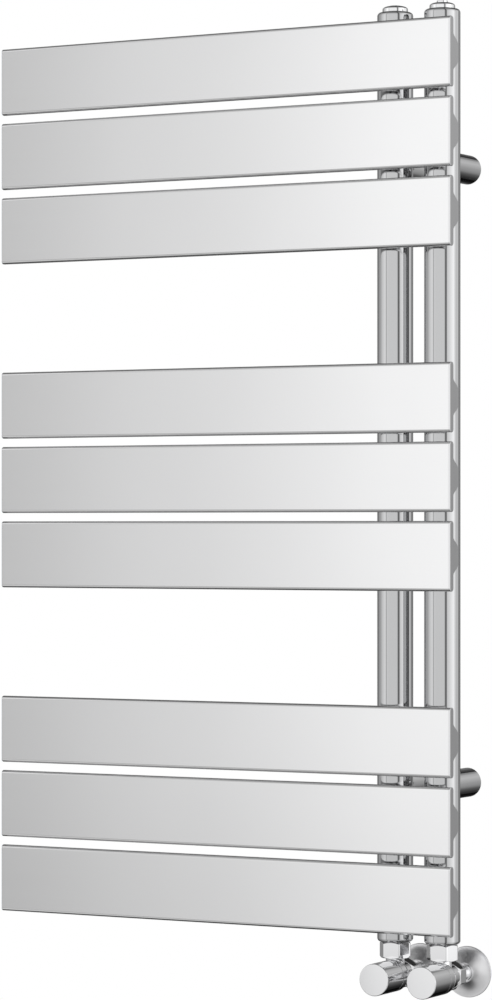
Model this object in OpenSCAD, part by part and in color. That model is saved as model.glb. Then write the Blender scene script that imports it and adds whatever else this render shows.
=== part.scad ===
// Chrome towel radiator with its two corner valves.
//
// Nine flat hollow panels in three groups stand in front of two upright round
// collectors. The collectors carry a plug at the top and stand off the wall on four
// round brackets. A corner valve under each collector takes its water from the wall.
//
// Millimetres. The origin is the middle of the four wall fixing holes, on the wall.
// +X runs to the right, +Y into the wall and +Z up.

/* [Panels] */
// Length of a panel
panel_len = 500; // [380:5:800]
// Distance from the middle between the collectors to the right-hand panel ends
panel_reach = 50; // [48:1:80]
// Height of a panel's flat front
panel_h = 66.4; // [54:0.2:82]
// Gap between neighbouring panels of one group
panel_gap = 8.4; // [4:0.2:20]
// Gap between two groups, where a towel goes through
towel_gap = 109; // [80:1:150]
// Thickness of a panel along its upper and lower edges
panel_edge_t = 8.3; // [7:0.1:11]
// Depth of a panel over its rear bulge
panel_depth = 18; // [15:0.5:24]
// Height of the rear bulge where it leaves the thin edge
bulge_base_h = 36; // [30:1:44]
// Height of the flat strip on the rear bulge
bulge_flat_h = 17; // [16:1:22]
// Rounding of the long edges
panel_edge_r = 2; // [1:0.1:3]
// Sheet thickness of a panel
panel_wall = 1.2; // [1:0.1:1.6]
// Thickness of the plate that closes each panel end
end_cap_t = 2; // [1:0.1:3]

/* [Collectors] */
// Outer radius of a collector tube
collector_r = 17.2; // [17:0.1:20.7]
// Wall of a collector tube
collector_wall = 1.5; // [1.2:0.1:2.5]
// Distance from the wall to the collectors' middle
collector_stand = 57; // [52:1:75]
// Distance between the two collectors, and between the two supply pipes
pipe_centres = 50; // [42:1:64]
// Collector length above the top panel
collector_over = 11.6; // [7:0.1:20]
// Collector length below the bottom panel
collector_under = 10.6; // [5:0.1:20]
// Height of the collectors' middle over the middle of the wall holes
collector_lift = -1.25; // [-40:0.05:40]
// Thickness of the plates that close the collector ends
collector_cap_t = 4; // [3.5:0.5:6]
// Rounding of the collector ends
collector_end_r = 3.4; // [1:0.1:3.4]
// Inner radius of the necks that join the panels to the collectors
port_r = 5; // [3:0.5:5.2]
// Wall of those necks
port_wall = 1.5; // [1:0.1:1.8]

/* [Top plugs] */
// Radius of a plug's round head
plug_head_r = 12.2; // [12:0.1:14]
// Height of the straight side of the head
plug_side_h = 2.9; // [2.5:0.1:6]
// Height of the head's rounded shoulder
plug_shoulder_h = 3; // [2.5:0.1:5]
// Radius of the half-inch pipe thread in the collector ends
thread_half_r = 10.4; // [10:0.1:10.6]
// Length of a plug's thread
plug_thread_len = 10; // [8:0.5:14]
// Key width of the blanking plug's hexagon socket
plug_key_af = 6; // [5:1:8]
// Radius of the raised middle of a plug
plug_middle_r = 5.2; // [5:0.1:7]
// Height of the raised middle of the blanking plug
plug_middle_h = 0.5; // [0.4:0.1:1.5]
// Height of the bleed nozzle above its plug
nozzle_h = 2; // [1.5:0.1:4]
// Radius of the bleed screw's thread
bleed_r = 2.5; // [2:0.1:3]
// Side of the bleed screw's square
bleed_square = 5; // [4:0.5:5.5]
// Radius of the air hole that the bleed screw's tip closes
bleed_hole_r = 0.8; // [0.5:0.1:1.2]

/* [Wall brackets] */
// Distance between the upper and the lower wall holes
bracket_spacing = 590; // [480:5:680]
// Radius of a bracket sleeve
sleeve_r = 14; // [13.5:0.1:16]
// Wall of a bracket sleeve
sleeve_wall = 2.5; // [2:0.1:3]
// Thickness of the sleeve's end against the collector
sleeve_end_t = 3.5; // [3:0.5:6]
// Wall of the post inside the sleeve
post_wall = 3.3; // [2.5:0.1:3.4]
// Thickness of the post's base on the wall
post_base_t = 4; // [3:0.5:8]
// Radius of the wall fixing hole
wall_hole_r = 2.75; // [2:0.25:4]
// Radius of the grub screw that locks the sleeve on the post
grub_r = 2.5; // [2:0.5:3]
// Distance from the collector's back to the grub screw
grub_back = 7.5; // [7:0.5:12]
// Thread radius of the bolt between sleeve and collector
bolt_r = 4; // [3:0.5:4.5]
// Key width of that bolt's head
bolt_af = 13; // [10:1:13]

/* [Valve tails] */
// Key width of the union nut
union_af = 27; // [25:0.5:32]
// Height of the union nut
union_h = 15; // [13:0.5:20]
// Turn of the union nut's front face towards the right
union_turn = 10; // [0:1:30]
// Thickness of the nut's lip under the tail's collar
union_lip_t = 2.8; // [2:0.1:4]
// Radius of the valve's upright tail
tail_r = 9; // [8:0.1:9.4]
// Bore radius of the tail
tail_bore_r = 6; // [4:0.5:6.5]
// Thickness of the tail's collar
tail_collar_t = 2.5; // [2:0.1:3]
// Thickness of the tail's flat washer
tail_washer_t = 1.5; // [1:0.1:2]
// Length of tail that shows between nut and valve
tail_show = 1.5; // [1:0.1:12]
// Depth of the tailpiece's thread inside the collector
tailpiece_in = 9; // [7:0.5:14]

/* [Valve bodies] */
// Radius of the valve body's front
body_r = 15.3; // [15:0.1:17]
// Radius of the valve body's rear
body_rear_r = 12; // [11.5:0.1:13]
// Distance from the tail's middle to the body's front face
body_front = 12; // [11:0.5:16]
// Distance from the tail's middle to the body's rear face
body_rear = 14.5; // [13:0.5:18]
// Radius of the seat's bore
seat_bore_r = 5; // [4:0.1:5.4]
// Height of the raised seat
seat_h = 1.2; // [0.8:0.1:1.4]
// Radius of the threaded rear spigot
spigot_r = 10; // [9.6:0.1:10.4]
// Length of the threaded rear spigot
spigot_len = 7.5; // [6:0.5:9]

/* [Valve heads] */
// Length of a knob
knob_len = 33; // [27:0.5:39]
// Wall of a knob
knob_wall = 2.1; // [1.6:0.1:2.2]
// Thickness of a knob's front
knob_front_t = 3; // [2:0.5:5]
// Travel of the plunger from closed to open
plunger_travel = 3.75; // [2:0.25:4.5]
// Thickness of the rubber seal on the plunger
seal_t = 2.2; // [1.8:0.1:3]
// Key width of the plunger's hexagon stem
stem_af = 10; // [9:0.5:10.5]
// Length of the plunger's stem
stem_len = 11; // [9:0.5:14]
// Thread radius of the spindle
spindle_thread_r = 2.7; // [2.4:0.1:3]
// Radius of the spindle's shaft
spindle_r = 3; // [2.8:0.1:3.4]
// Length of the headwork's gland
gland_len = 11; // [9:0.5:12]

/* [Pipes and wall flanges] */
// Outer radius of the supply pipe
pipe_r = 7.5; // [7.5:0.1:8]
// Wall of the supply pipe
pipe_wall = 0.7; // [0.6:0.1:1.2]
// Key width of the compression nut
pipe_nut_af = 24.5; // [24:0.5:28]
// Length of the compression nut
pipe_nut_len = 13; // [11:0.5:15]
// Height of a wall flange
flange_h = 8; // [6:0.5:12]
// Sheet thickness of a wall flange
flange_t = 1.2; // [0.8:0.1:2]

/* [Clearances] */
// Gap between parts that turn or slide past each other
moving_gap = 0.5; // [0.3:0.05:0.8]
// Radial clearance of a running fit
running_gap = 0.06; // [0.02:0.01:0.1]
// Radial clearance where one piece slides into another
slip_gap = 0.2; // [0.1:0.05:0.4]
// Gap between the closed seal and its seat
seat_gap = 0.1; // [0.05:0.05:0.3]
// Gap between the rims of the two wall flanges
flange_gap = 0.6; // [0.4:0.1:4]

/* [Hidden] */

$fn = 64;
// Amount by which a cutting shape runs past what it cuts
over = 1;
LEFT = -1;
RIGHT = 1;
TOP = 1;
BOTTOM = -1;
SIDES = [LEFT, RIGHT];
LEVELS = [BOTTOM, TOP];

// Colours of the finishes
CHROME = [0.80, 0.81, 0.83];
STEEL = [0.62, 0.63, 0.65];
BRASS = [0.80, 0.66, 0.36];
RUBBER = [0.10, 0.10, 0.11];
INSERT = [0.85, 0.85, 0.82];

// Panels, counted from the top
group_size = 3;
panel_count = 9;
panel_pitch = panel_h + panel_gap;
group_count = panel_count / group_size;
field_h = panel_count * panel_h + (panel_count - group_count) * panel_gap
    + (group_count - 1) * towel_gap;
collector_len = field_h + collector_over + collector_under;
collector_top = collector_lift + collector_len / 2;
collector_foot = collector_lift - collector_len / 2;
panel_left = panel_reach - panel_len;
// Distances from the wall, u, grow towards the room
collector_front = collector_stand + collector_r;
collector_back = collector_stand - collector_r;
panel_front = collector_front + panel_depth;
// Water necks: how far they stand out inside a panel and inside a collector
neck_proud = 1;
neck_r = port_r + port_wall;
collector_bore_r = collector_r - collector_wall;
neck_rear_u = collector_stand + sqrt(pow(collector_bore_r, 2) - pow(neck_r, 2)) - neck_proud;
neck_front_u = collector_front + panel_wall + neck_proud;

// Wall bracket
sleeve_bore_r = sleeve_r - sleeve_wall;
sleeve_end = collector_back - sleeve_end_t;
post_r = sleeve_bore_r - slip_gap;
post_len = sleeve_end - moving_gap;
bolt_head_h = 5.3;
bolt_clear_r = bolt_r + slip_gap;
boss_wall = 2;
boss_depth = 9;
boss_r = bolt_r + boss_wall;
boss_thread_len = 7.5;
grub_proud = 0.8;
grub_key_af = 2.5;
grub_key_depth = 2;

// Top plug
plug_lift = 0.2;
plug_top = plug_lift + plug_side_h + plug_shoulder_h;
oring_groove_d = 1.4;
oring_r = 0.75;
oring_ring_r = (thread_half_r + plug_head_r) / 2;
nozzle_spigot_r = 4;
nozzle_cup_r = 4.2;
nozzle_floor_t = 0.4;
nozzle_cup_low = plug_top + nozzle_floor_t;
nozzle_top = plug_top + nozzle_h;
bleed_seat_t = 2;
bleed_seat = bleed_seat_t - plug_thread_len;
bleed_tip_h = 2;
bleed_tip_land = 0.4;
plug_key_depth = 5;

// Valve tail, heights above the valve's axis
union_gap = 0.5;
washer_bore_r = 7;
valve_drop = union_gap + union_h + tail_show + body_r;
valve_z = collector_foot - valve_drop;
union_low = body_r + tail_show;
collar_low = union_low + union_lip_t;
collar_high = collar_low + tail_collar_t;
washer_high = collar_high + tail_washer_t;
tail_ledge_r = thread_half_r - slip_gap;

// Valve body, stations u from the wall along the valve's axis
body_front_u = collector_stand + body_front;
body_rear_u = collector_stand - body_rear;
taper_front = 4;
taper_rear = 6;
taper_front_u = collector_stand + taper_front;
taper_rear_u = collector_stand - taper_rear;
chamber_wall = 5.8;
chamber_r = body_r - chamber_wall;
chamber_past_tail = 1.5;
chamber_rear_u = collector_stand - tail_bore_r - chamber_past_tail;
seat_u = chamber_rear_u + seat_h;
seat_ring_t = 1.8;
seat_ring_r = seat_bore_r + seat_ring_t;
pipe_fit_gap = 0.05;
pipe_stop_t = 2.5;
pipe_end_u = body_rear_u - pipe_stop_t;
spigot_u = body_rear_u - spigot_len;
pipe_nut_gap = 0.3;
pipe_nut_front_u = body_rear_u - pipe_nut_gap;
pipe_nut_rear_u = pipe_nut_front_u - pipe_nut_len;
pipe_nut_lip = 2;

// Plunger: the seal in its holder, and the hexagon stem
seal_land = 0.5;
seal_r = seat_ring_r + seal_land;
seal_rear_u = seat_u + seat_gap;
seal_front_u = seal_rear_u + seal_t;
holder_wall = 0.9;
holder_r = seal_r + holder_wall;
holder_rim = 1.2;
holder_t = 3;
holder_front_u = seal_front_u + holder_t;
stem_end_u = holder_front_u + stem_len;
plunger_floor = 1;
plunger_bore_u = holder_front_u + plunger_floor;

// Headwork: the plunger's hexagon guide, its flange and its gland
headwork_gap = 1.25;
headwork_rear_u = holder_front_u + plunger_travel + headwork_gap;
headwork_rim_gap = 0.7;
headwork_flange_r = body_r - knob_wall - headwork_rim_gap;
headwork_flange_t = 3;
guide_gap = 0.6;
guide_af = stem_af + guide_gap;

// Spindle: its thread in the plunger, its collar, and its square in the knob
stem_end_gap = 0.45;
spindle_collar_u = stem_end_u + plunger_travel + stem_end_gap;
spindle_collar_t = 1.6;
guide_end_u = spindle_collar_u + spindle_collar_t + slip_gap;
spindle_collar_r = guide_af / 2 - moving_gap;
gland_r = 7;
gland_end_u = guide_end_u + gland_len;
gland_groove_u = guide_end_u + gland_len / 2;
gland_oring_r = 0.6;
// A square with slightly broken corners fits inside the round spindle
spindle_square = spindle_r * 1.4;

// Knob and its insert
knob_rear_u = body_front_u + moving_gap;
knob_front_u = knob_rear_u + knob_len;
knob_inside_u = knob_front_u - knob_front_t;
knob_bore_r = body_r - knob_wall;
knob_edge_r = 0.8;
insert_web_t = 3;
insert_hub_r = 7;
insert_gap = 2;
insert_hub_u = gland_end_u + insert_gap;
square_cover = 2.5;
square_end_u = knob_inside_u - square_cover;

// Wall flange
flange_r = (pipe_centres - flange_gap) / 2;
flange_hub_t = 2;
flange_hub_r = pipe_r + flange_hub_t;
flange_slide_gap = 0.3;
flange_bore_r = pipe_r + flange_slide_gap;
flange_curve = 1.8;
flange_steps = 14;

// Height of the middle of panel i
function panel_z(i) = collector_top - collector_over - panel_h / 2 - (i - 1) * panel_pitch
    - floor((i - 1) / group_size) * (towel_gap - panel_gap);

// Smooth step from 0 to 1
function ease(t) = let (s = min(max(t, 0), 1)) s * s * (3 - 2 * s);

// Depth of a panel's back at height b from its middle, inset by one sheet
function panel_back(b, inset) =
    let (base = bulge_base_h / 2 - inset, flat = bulge_flat_h / 2 - inset)
    panel_edge_t - inset
        + (panel_depth - panel_edge_t) * ease((base - abs(b)) / (base - flat));

// Points of a quarter round of radius r about [x, y], from angle a0 to a1
function quarter(x, y, r, a0, a1) =
    [for (k = [0:4]) let (a = a0 + (a1 - a0) * k / 4) [x + r * cos(a), y + r * sin(a)]];

// Outline of a panel, depth along x and height along y, inset by one sheet
function panel_outline(inset) =
    let (
        half = panel_h / 2 - inset,
        r = panel_edge_r - inset / 2,
        back = panel_edge_t - inset,
        base = bulge_base_h / 2 - inset,
        steps = 14
    )
    concat(
        quarter(inset + r, -half + r, r, 180, 270),
        quarter(back - r, -half + r, r, 270, 360),
        [for (k = [0:2 * steps])
            let (b = base * (k / steps - 1)) [panel_back(b, inset), b]],
        quarter(back - r, half - r, r, 0, 90),
        quarter(inset + r, half - r, r, 90, 180)
    );

// A solid of a panel's outline between two places along X
module panel_bar(i, x_from, x_to, inset) {
    translate([x_from, -panel_front, panel_z(i)])
        rotate([90, 0, 90])
            linear_extrude(x_to - x_from) polygon(panel_outline(inset));
}

// Places children on a collector's axis, at height z
module at_collector(side, z) {
    translate([side * pipe_centres / 2, -collector_stand, z]) children();
}

// Turns children so that their +Z points into the room, at a collector and height z
module facing_room(side, z) {
    translate([side * pipe_centres / 2, 0, z]) rotate([90, 0, 0]) children();
}

module at_bracket(side, level) {
    facing_room(side, level * bracket_spacing / 2) children();
}

module at_valve(side) {
    facing_room(side, valve_z) children();
}

// A cylinder between two stations along its own axis
module rod(r, from, to) {
    translate([0, 0, from]) cylinder(r = r, h = to - from);
}

// A tube between two stations along its own axis
module pipe(r_out, r_in, from, to) {
    difference() {
        rod(r_out, from, to);
        rod(r_in, from - over, to + over);
    }
}

// A hexagonal bar of key width af
module hexagon(af, from, to) {
    translate([0, 0, from]) cylinder(d = af * 2 / sqrt(3), h = to - from, $fn = 6);
}

// A hexagonal nut blank whose corners are chamfered at both ends
module nut_blank(af, from, to) {
    corner_r = af / sqrt(3);
    chamfer_slope = 0.75;
    rise = (corner_r - af / 2) * chamfer_slope;
    intersection() {
        hexagon(af, from, to);
        rotate_extrude()
            polygon([
                [0, from], [af / 2 - 0.1, from], [corner_r + 0.1, from + rise],
                [corner_r + 0.1, to - rise], [af / 2 - 0.1, to], [0, to]
            ]);
    }
}

// A ring of round section
module oring(ring_r, r) {
    rotate_extrude() translate([ring_r, 0]) circle(r = r);
}

// A collector's end plate, its outer edge rounded and its middle threaded
module collector_cap() {
    difference() {
        rotate_extrude()
            polygon(concat(
                [[0, 0], [collector_r, 0]],
                quarter(collector_r - collector_end_r, collector_cap_t - collector_end_r,
                    collector_end_r, 0, 90),
                [[0, collector_cap_t]]
            ));
        rod(thread_half_r, -over, collector_cap_t + over);
    }
}

// --- Panels -----------------------------------------------------------------------

module panel(i) {
    color(CHROME) difference() {
        panel_bar(i, panel_left + end_cap_t, panel_reach - end_cap_t, 0);
        panel_bar(i, panel_left, panel_reach, panel_wall);
        for (side = SIDES)
            facing_room(side, panel_z(i))
                rod(neck_r, collector_front - over, collector_front + panel_wall + over);
    }
}

module panel_end_caps(side) {
    start = side == LEFT ? panel_left : panel_reach - end_cap_t;
    color(CHROME) for (i = [1:panel_count])
        panel_bar(i, start, start + end_cap_t, 0);
}

// Short brazed tubes that carry the water from the collectors into the panels
module port_necks() {
    color(STEEL) for (side = SIDES, i = [1:panel_count])
        facing_room(side, panel_z(i))
            pipe(neck_r, port_r, neck_rear_u, neck_front_u);
}

// --- Collectors -------------------------------------------------------------------

module collector(side) {
    low = collector_foot + collector_cap_t;
    high = collector_top - collector_cap_t;
    color(CHROME) difference() {
        at_collector(side, 0) pipe(collector_r, collector_bore_r, low, high);
        for (i = [1:panel_count])
            facing_room(side, panel_z(i))
                rod(neck_r, collector_stand, collector_front + over);
        for (level = LEVELS)
            at_bracket(side, level)
                rod(boss_r, collector_back - over, collector_stand);
    }
}

module collector_top_caps() {
    color(CHROME) for (side = SIDES)
        at_collector(side, collector_top - collector_cap_t) collector_cap();
}

module collector_bottom_caps() {
    color(CHROME) for (side = SIDES)
        at_collector(side, collector_foot + collector_cap_t)
            mirror([0, 0, 1]) collector_cap();
}

// --- Plugs at the top -------------------------------------------------------------

// Points of the head's shoulder, from the straight side in to the flat middle
function plug_shoulder() =
    [for (k = [0:6])
        let (a = 90 * k / 6)
        [plug_middle_r + (plug_head_r - plug_middle_r) * cos(a),
            plug_lift + plug_side_h + plug_shoulder_h * sin(a)]];

// A threaded plug with a round-shouldered head and a groove for its O-ring
module plug_blank() {
    difference() {
        rotate_extrude()
            polygon(concat(
                [[0, -plug_thread_len], [thread_half_r, -plug_thread_len],
                    [thread_half_r, plug_lift], [plug_head_r, plug_lift]],
                plug_shoulder(),
                [[0, plug_top]]
            ));
        pipe(oring_ring_r + oring_r, thread_half_r, plug_lift - over,
            plug_lift + oring_groove_d);
    }
}

module blanking_plug() {
    color(CHROME) at_collector(LEFT, collector_top) difference() {
        union() {
            plug_blank();
            rod(plug_middle_r, plug_top - over, plug_top + plug_middle_h);
        }
        hexagon(plug_key_af, plug_top - plug_key_depth, plug_top + plug_middle_h + over);
    }
}

module vent_plug() {
    color(CHROME) at_collector(RIGHT, collector_top) difference() {
        plug_blank();
        rod(nozzle_spigot_r, -plug_thread_len - over, plug_top + over);
    }
}

module plug_orings() {
    color(RUBBER) for (side = SIDES)
        at_collector(side, collector_top + oring_r) oring(oring_ring_r, oring_r);
}

// The vent's nozzle: a cup for the screw on the plug and a threaded spigot through it,
// with a small air hole in its floor
module bleed_nozzle() {
    color(CHROME) at_collector(RIGHT, collector_top) difference() {
        union() {
            rod(plug_middle_r, plug_top, nozzle_top);
            rod(nozzle_spigot_r, -plug_thread_len, plug_top);
        }
        rod(nozzle_cup_r, nozzle_cup_low, nozzle_top + over);
        rod(bleed_r + running_gap, bleed_seat, nozzle_top);
        rod(bleed_hole_r, -plug_thread_len - over, bleed_seat + over);
    }
}

// A square-headed screw whose tip covers the air hole
module bleed_screw() {
    head_low = nozzle_cup_low + slip_gap;
    head_high = nozzle_top - slip_gap;
    tip = bleed_seat + seat_gap;
    color(BRASS) at_collector(RIGHT, collector_top) {
        translate([-bleed_square / 2, -bleed_square / 2, head_low])
            cube([bleed_square, bleed_square, head_high - head_low]);
        rod(bleed_r, tip + bleed_tip_h, head_low);
        translate([0, 0, tip])
            cylinder(r1 = bleed_hole_r + bleed_tip_land, r2 = bleed_r, h = bleed_tip_h);
    }
}

// --- Wall brackets ----------------------------------------------------------------

// A sleeve whose end is shaped to the back of the collector
module bracket_sleeve(side, level) {
    color(CHROME) difference() {
        at_bracket(side, level) difference() {
            rod(sleeve_r, 0, collector_stand);
            rod(sleeve_bore_r, -over, sleeve_end);
            rod(bolt_clear_r, sleeve_end - over, collector_stand);
            translate([0, 0, collector_back - grub_back])
                rotate([90, 0, 0]) rod(grub_r, sleeve_bore_r - over, sleeve_r + over);
        }
        at_collector(side, 0) rod(collector_r, collector_foot, collector_top);
    }
}

// A hollow post that the wall screw holds and the sleeve slides over
module wall_post(side, level) {
    color(STEEL) at_bracket(side, level) difference() {
        rod(post_r, 0, post_len);
        rod(post_r - post_wall, post_base_t, post_len + over);
        rod(wall_hole_r, -over, post_base_t + over);
    }
}

module bracket_grub_screws() {
    color(STEEL) for (side = SIDES, level = LEVELS)
        at_bracket(side, level)
            translate([0, 0, collector_back - grub_back])
                rotate([90, 0, 0]) difference() {
                    rod(grub_r, post_r, sleeve_r + grub_proud);
                    hexagon(grub_key_af, sleeve_r + grub_proud - grub_key_depth,
                        sleeve_r + grub_proud + over);
                }
}

module bracket_bolts() {
    color(STEEL) for (side = SIDES, level = LEVELS)
        at_bracket(side, level) {
            nut_blank(bolt_af, sleeve_end - bolt_head_h, sleeve_end);
            rod(bolt_r, sleeve_end, collector_back + boss_thread_len - over);
        }
}

// Blind threaded bosses brazed into the collectors' backs
module collector_bosses() {
    color(STEEL) for (side = SIDES, level = LEVELS)
        intersection() {
            at_bracket(side, level) difference() {
                rod(boss_r, collector_back, collector_back + boss_depth);
                rod(bolt_r, collector_back - over, collector_back + boss_thread_len);
            }
            at_collector(side, 0) rod(collector_r, collector_foot, collector_top);
        }
}

// --- Valve tails ------------------------------------------------------------------

// Turns children so that their +Z points up the valve's tail
module up_tail(side) {
    translate([side * pipe_centres / 2, -collector_stand, valve_z]) children();
}

module tailpiece(side) {
    color(BRASS) up_tail(side)
        pipe(thread_half_r, washer_bore_r, washer_high, valve_drop + tailpiece_in);
}

module tail_washers() {
    color(RUBBER) for (side = SIDES)
        up_tail(side) pipe(tail_ledge_r, washer_bore_r, collar_high, washer_high);
}

module union_nut(side) {
    color(CHROME) up_tail(side) rotate([0, 0, union_turn]) difference() {
        nut_blank(union_af, union_low, union_low + union_h);
        rod(thread_half_r, collar_low, union_low + union_h + over);
        rod(tail_r + slip_gap, union_low - over, collar_low + over);
    }
}

// --- Valve bodies -----------------------------------------------------------------

module valve_body(side) {
    color(CHROME) difference() {
        union() {
            at_valve(side) rotate_extrude()
                polygon([
                    [0, spigot_u], [spigot_r, spigot_u], [spigot_r, body_rear_u],
                    [body_rear_r, body_rear_u], [body_rear_r, taper_rear_u],
                    [body_r, taper_front_u], [body_r, body_front_u], [0, body_front_u]
                ]);
            up_tail(side) {
                rod(tail_r, 0, collar_high);
                rod(tail_ledge_r, collar_low, collar_high);
            }
        }
        up_tail(side) rod(tail_bore_r, 0, collar_high + over);
        at_valve(side) {
            // Chamber around the raised seat
            difference() {
                rod(chamber_r, chamber_rear_u, body_front_u + over);
                rod(seat_ring_r, chamber_rear_u - over, seat_u);
            }
            rod(seat_bore_r, spigot_u - over, seat_u + over);
            rod(pipe_r + pipe_fit_gap, spigot_u - over, pipe_end_u);
        }
    }
}

module compression_nut(side) {
    color(CHROME) at_valve(side) difference() {
        nut_blank(pipe_nut_af, pipe_nut_rear_u, pipe_nut_front_u);
        rod(spigot_r, pipe_nut_rear_u + pipe_nut_lip, pipe_nut_front_u + over);
        rod(pipe_r + slip_gap, pipe_nut_rear_u - over, pipe_nut_front_u);
    }
}

// Soft rings that the compression nuts squeeze onto the pipes
module olives() {
    low = pipe_nut_rear_u + pipe_nut_lip;
    wall = 1.6;
    chamfer = 0.8;
    color(BRASS) for (side = SIDES)
        at_valve(side) rotate_extrude()
            polygon([
                [pipe_r, low], [pipe_r + wall - chamfer, low], [pipe_r + wall, low + chamfer],
                [pipe_r + wall, spigot_u - chamfer], [pipe_r + wall - chamfer, spigot_u],
                [pipe_r, spigot_u]
            ]);
}

module pipe_stub(side) {
    color(CHROME) at_valve(side) pipe(pipe_r, pipe_r - pipe_wall, 0, pipe_end_u);
}

// A pressed cover plate with a trumpet-shaped rise towards the pipe
module wall_flange(side) {
    outer = [for (k = [0:flange_steps])
        let (t = k / flange_steps)
        [flange_r - (flange_r - flange_hub_r) * t,
            flange_t + (flange_h - flange_t) * pow(t, flange_curve)]];
    inner = [for (k = [flange_steps:-1:0]) [outer[k][0], outer[k][1] - flange_t]];
    color(CHROME) at_valve(side) rotate_extrude()
        polygon(concat(
            [[flange_r, 0]], outer,
            [[flange_bore_r, flange_h], [flange_bore_r, flange_h - flange_t]],
            [for (p = inner) if (p[1] > 0) p],
            [[flange_r - flange_t, 0]]
        ));
}

// --- Valve heads ------------------------------------------------------------------

module headwork(side) {
    color(BRASS) at_valve(side) difference() {
        union() {
            rod(chamber_r, headwork_rear_u, body_front_u);
            rod(headwork_flange_r, body_front_u, body_front_u + headwork_flange_t);
            rod(gland_r, body_front_u, gland_end_u);
        }
        hexagon(guide_af, headwork_rear_u - over, guide_end_u);
        rod(spindle_r + running_gap, guide_end_u - over, gland_end_u + over);
    }
}

module spindle(side) {
    thread_end_u = plunger_bore_u + plunger_travel + moving_gap;
    groove_half = gland_oring_r * 1.3;
    color(BRASS) at_valve(side) difference() {
        union() {
            rod(spindle_thread_r, thread_end_u, spindle_collar_u + over);
            rod(spindle_collar_r, spindle_collar_u, spindle_collar_u + spindle_collar_t);
            rod(spindle_r, spindle_collar_u, gland_end_u + over);
            translate([-spindle_square / 2, -spindle_square / 2, gland_end_u])
                cube([spindle_square, spindle_square, square_end_u - gland_end_u]);
        }
        pipe(spindle_r + over, spindle_r - 2 * gland_oring_r,
            gland_groove_u - groove_half, gland_groove_u + groove_half);
    }
}

module gland_oring(side) {
    color(RUBBER) at_valve(side) translate([0, 0, gland_groove_u])
        oring(spindle_r - gland_oring_r, gland_oring_r);
}

module plunger(side) {
    color(BRASS) at_valve(side) difference() {
        union() {
            rod(holder_r, seal_front_u - holder_rim, holder_front_u);
            hexagon(stem_af, holder_front_u - over, stem_end_u);
        }
        rod(seal_r, seal_front_u - holder_rim - over, seal_front_u);
        rod(spindle_thread_r + running_gap, plunger_bore_u, stem_end_u + over);
    }
}

module plunger_seal(side) {
    color(RUBBER) at_valve(side) rod(seal_r, seal_rear_u, seal_front_u);
}

// The moulded hub that carries the knob on the spindle's square
module knob_insert(side) {
    hole = spindle_square + running_gap;
    color(INSERT) at_valve(side) difference() {
        union() {
            rod(insert_hub_r, insert_hub_u, knob_inside_u);
            rod(knob_bore_r, knob_inside_u - insert_web_t, knob_inside_u);
        }
        translate([-hole / 2, -hole / 2, insert_hub_u - over])
            cube([hole, hole, square_end_u + over + slip_gap - insert_hub_u]);
    }
}

module valve_knob(side) {
    color(CHROME) at_valve(side) difference() {
        rotate_extrude()
            polygon(concat(
                [[0, knob_rear_u], [body_r, knob_rear_u]],
                quarter(body_r - knob_edge_r, knob_front_u - knob_edge_r, knob_edge_r, 0, 90),
                [[0, knob_front_u]]
            ));
        rod(knob_bore_r, knob_rear_u - over, knob_inside_u);
    }
}

// --- Assembly ---------------------------------------------------------------------

panel(1);  // panel_1
panel(2);  // panel_2
panel(3);  // panel_3
panel(4);  // panel_4
panel(5);  // panel_5
panel(6);  // panel_6
panel(7);  // panel_7
panel(8);  // panel_8
panel(9);  // panel_9
panel_end_caps(LEFT);  // panel_end_caps_left
panel_end_caps(RIGHT);  // panel_end_caps_right
port_necks();
collector(LEFT);  // collector_left
collector(RIGHT);  // collector_right
collector_top_caps();
collector_bottom_caps();
blanking_plug();
vent_plug();
plug_orings();
bleed_nozzle();
bleed_screw();
bracket_sleeve(LEFT, TOP);  // bracket_sleeve_top_left
bracket_sleeve(RIGHT, TOP);  // bracket_sleeve_top_right
bracket_sleeve(LEFT, BOTTOM);  // bracket_sleeve_bottom_left
bracket_sleeve(RIGHT, BOTTOM);  // bracket_sleeve_bottom_right
wall_post(LEFT, TOP);  // wall_post_top_left
wall_post(RIGHT, TOP);  // wall_post_top_right
wall_post(LEFT, BOTTOM);  // wall_post_bottom_left
wall_post(RIGHT, BOTTOM);  // wall_post_bottom_right
bracket_grub_screws();
bracket_bolts();
collector_bosses();
tail_washers();
olives();
tailpiece(LEFT);  // tailpiece_left
tailpiece(RIGHT);  // tailpiece_right
union_nut(LEFT);  // union_nut_left
union_nut(RIGHT);  // union_nut_right
valve_body(LEFT);  // valve_body_left
valve_body(RIGHT);  // valve_body_right
headwork(LEFT);  // headwork_left
headwork(RIGHT);  // headwork_right
spindle(LEFT);  // spindle_left
spindle(RIGHT);  // spindle_right
gland_oring(LEFT);  // gland_oring_left
gland_oring(RIGHT);  // gland_oring_right
plunger(LEFT);  // plunger_left
plunger(RIGHT);  // plunger_right
plunger_seal(LEFT);  // plunger_seal_left
plunger_seal(RIGHT);  // plunger_seal_right
knob_insert(LEFT);  // knob_insert_left
knob_insert(RIGHT);  // knob_insert_right
valve_knob(LEFT);  // valve_knob_left
valve_knob(RIGHT);  // valve_knob_right
compression_nut(LEFT);  // compression_nut_left
compression_nut(RIGHT);  // compression_nut_right
pipe_stub(LEFT);  // pipe_stub_left
pipe_stub(RIGHT);  // pipe_stub_right
wall_flange(LEFT);  // wall_flange_left
wall_flange(RIGHT);  // wall_flange_right
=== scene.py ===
"""A chrome towel radiator with its two corner valves: surfaces, finishes, light and camera.

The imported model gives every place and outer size. Lengths in the shape functions are in
millimetres and are turned into metres where a mesh is made.
"""

import math

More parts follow.
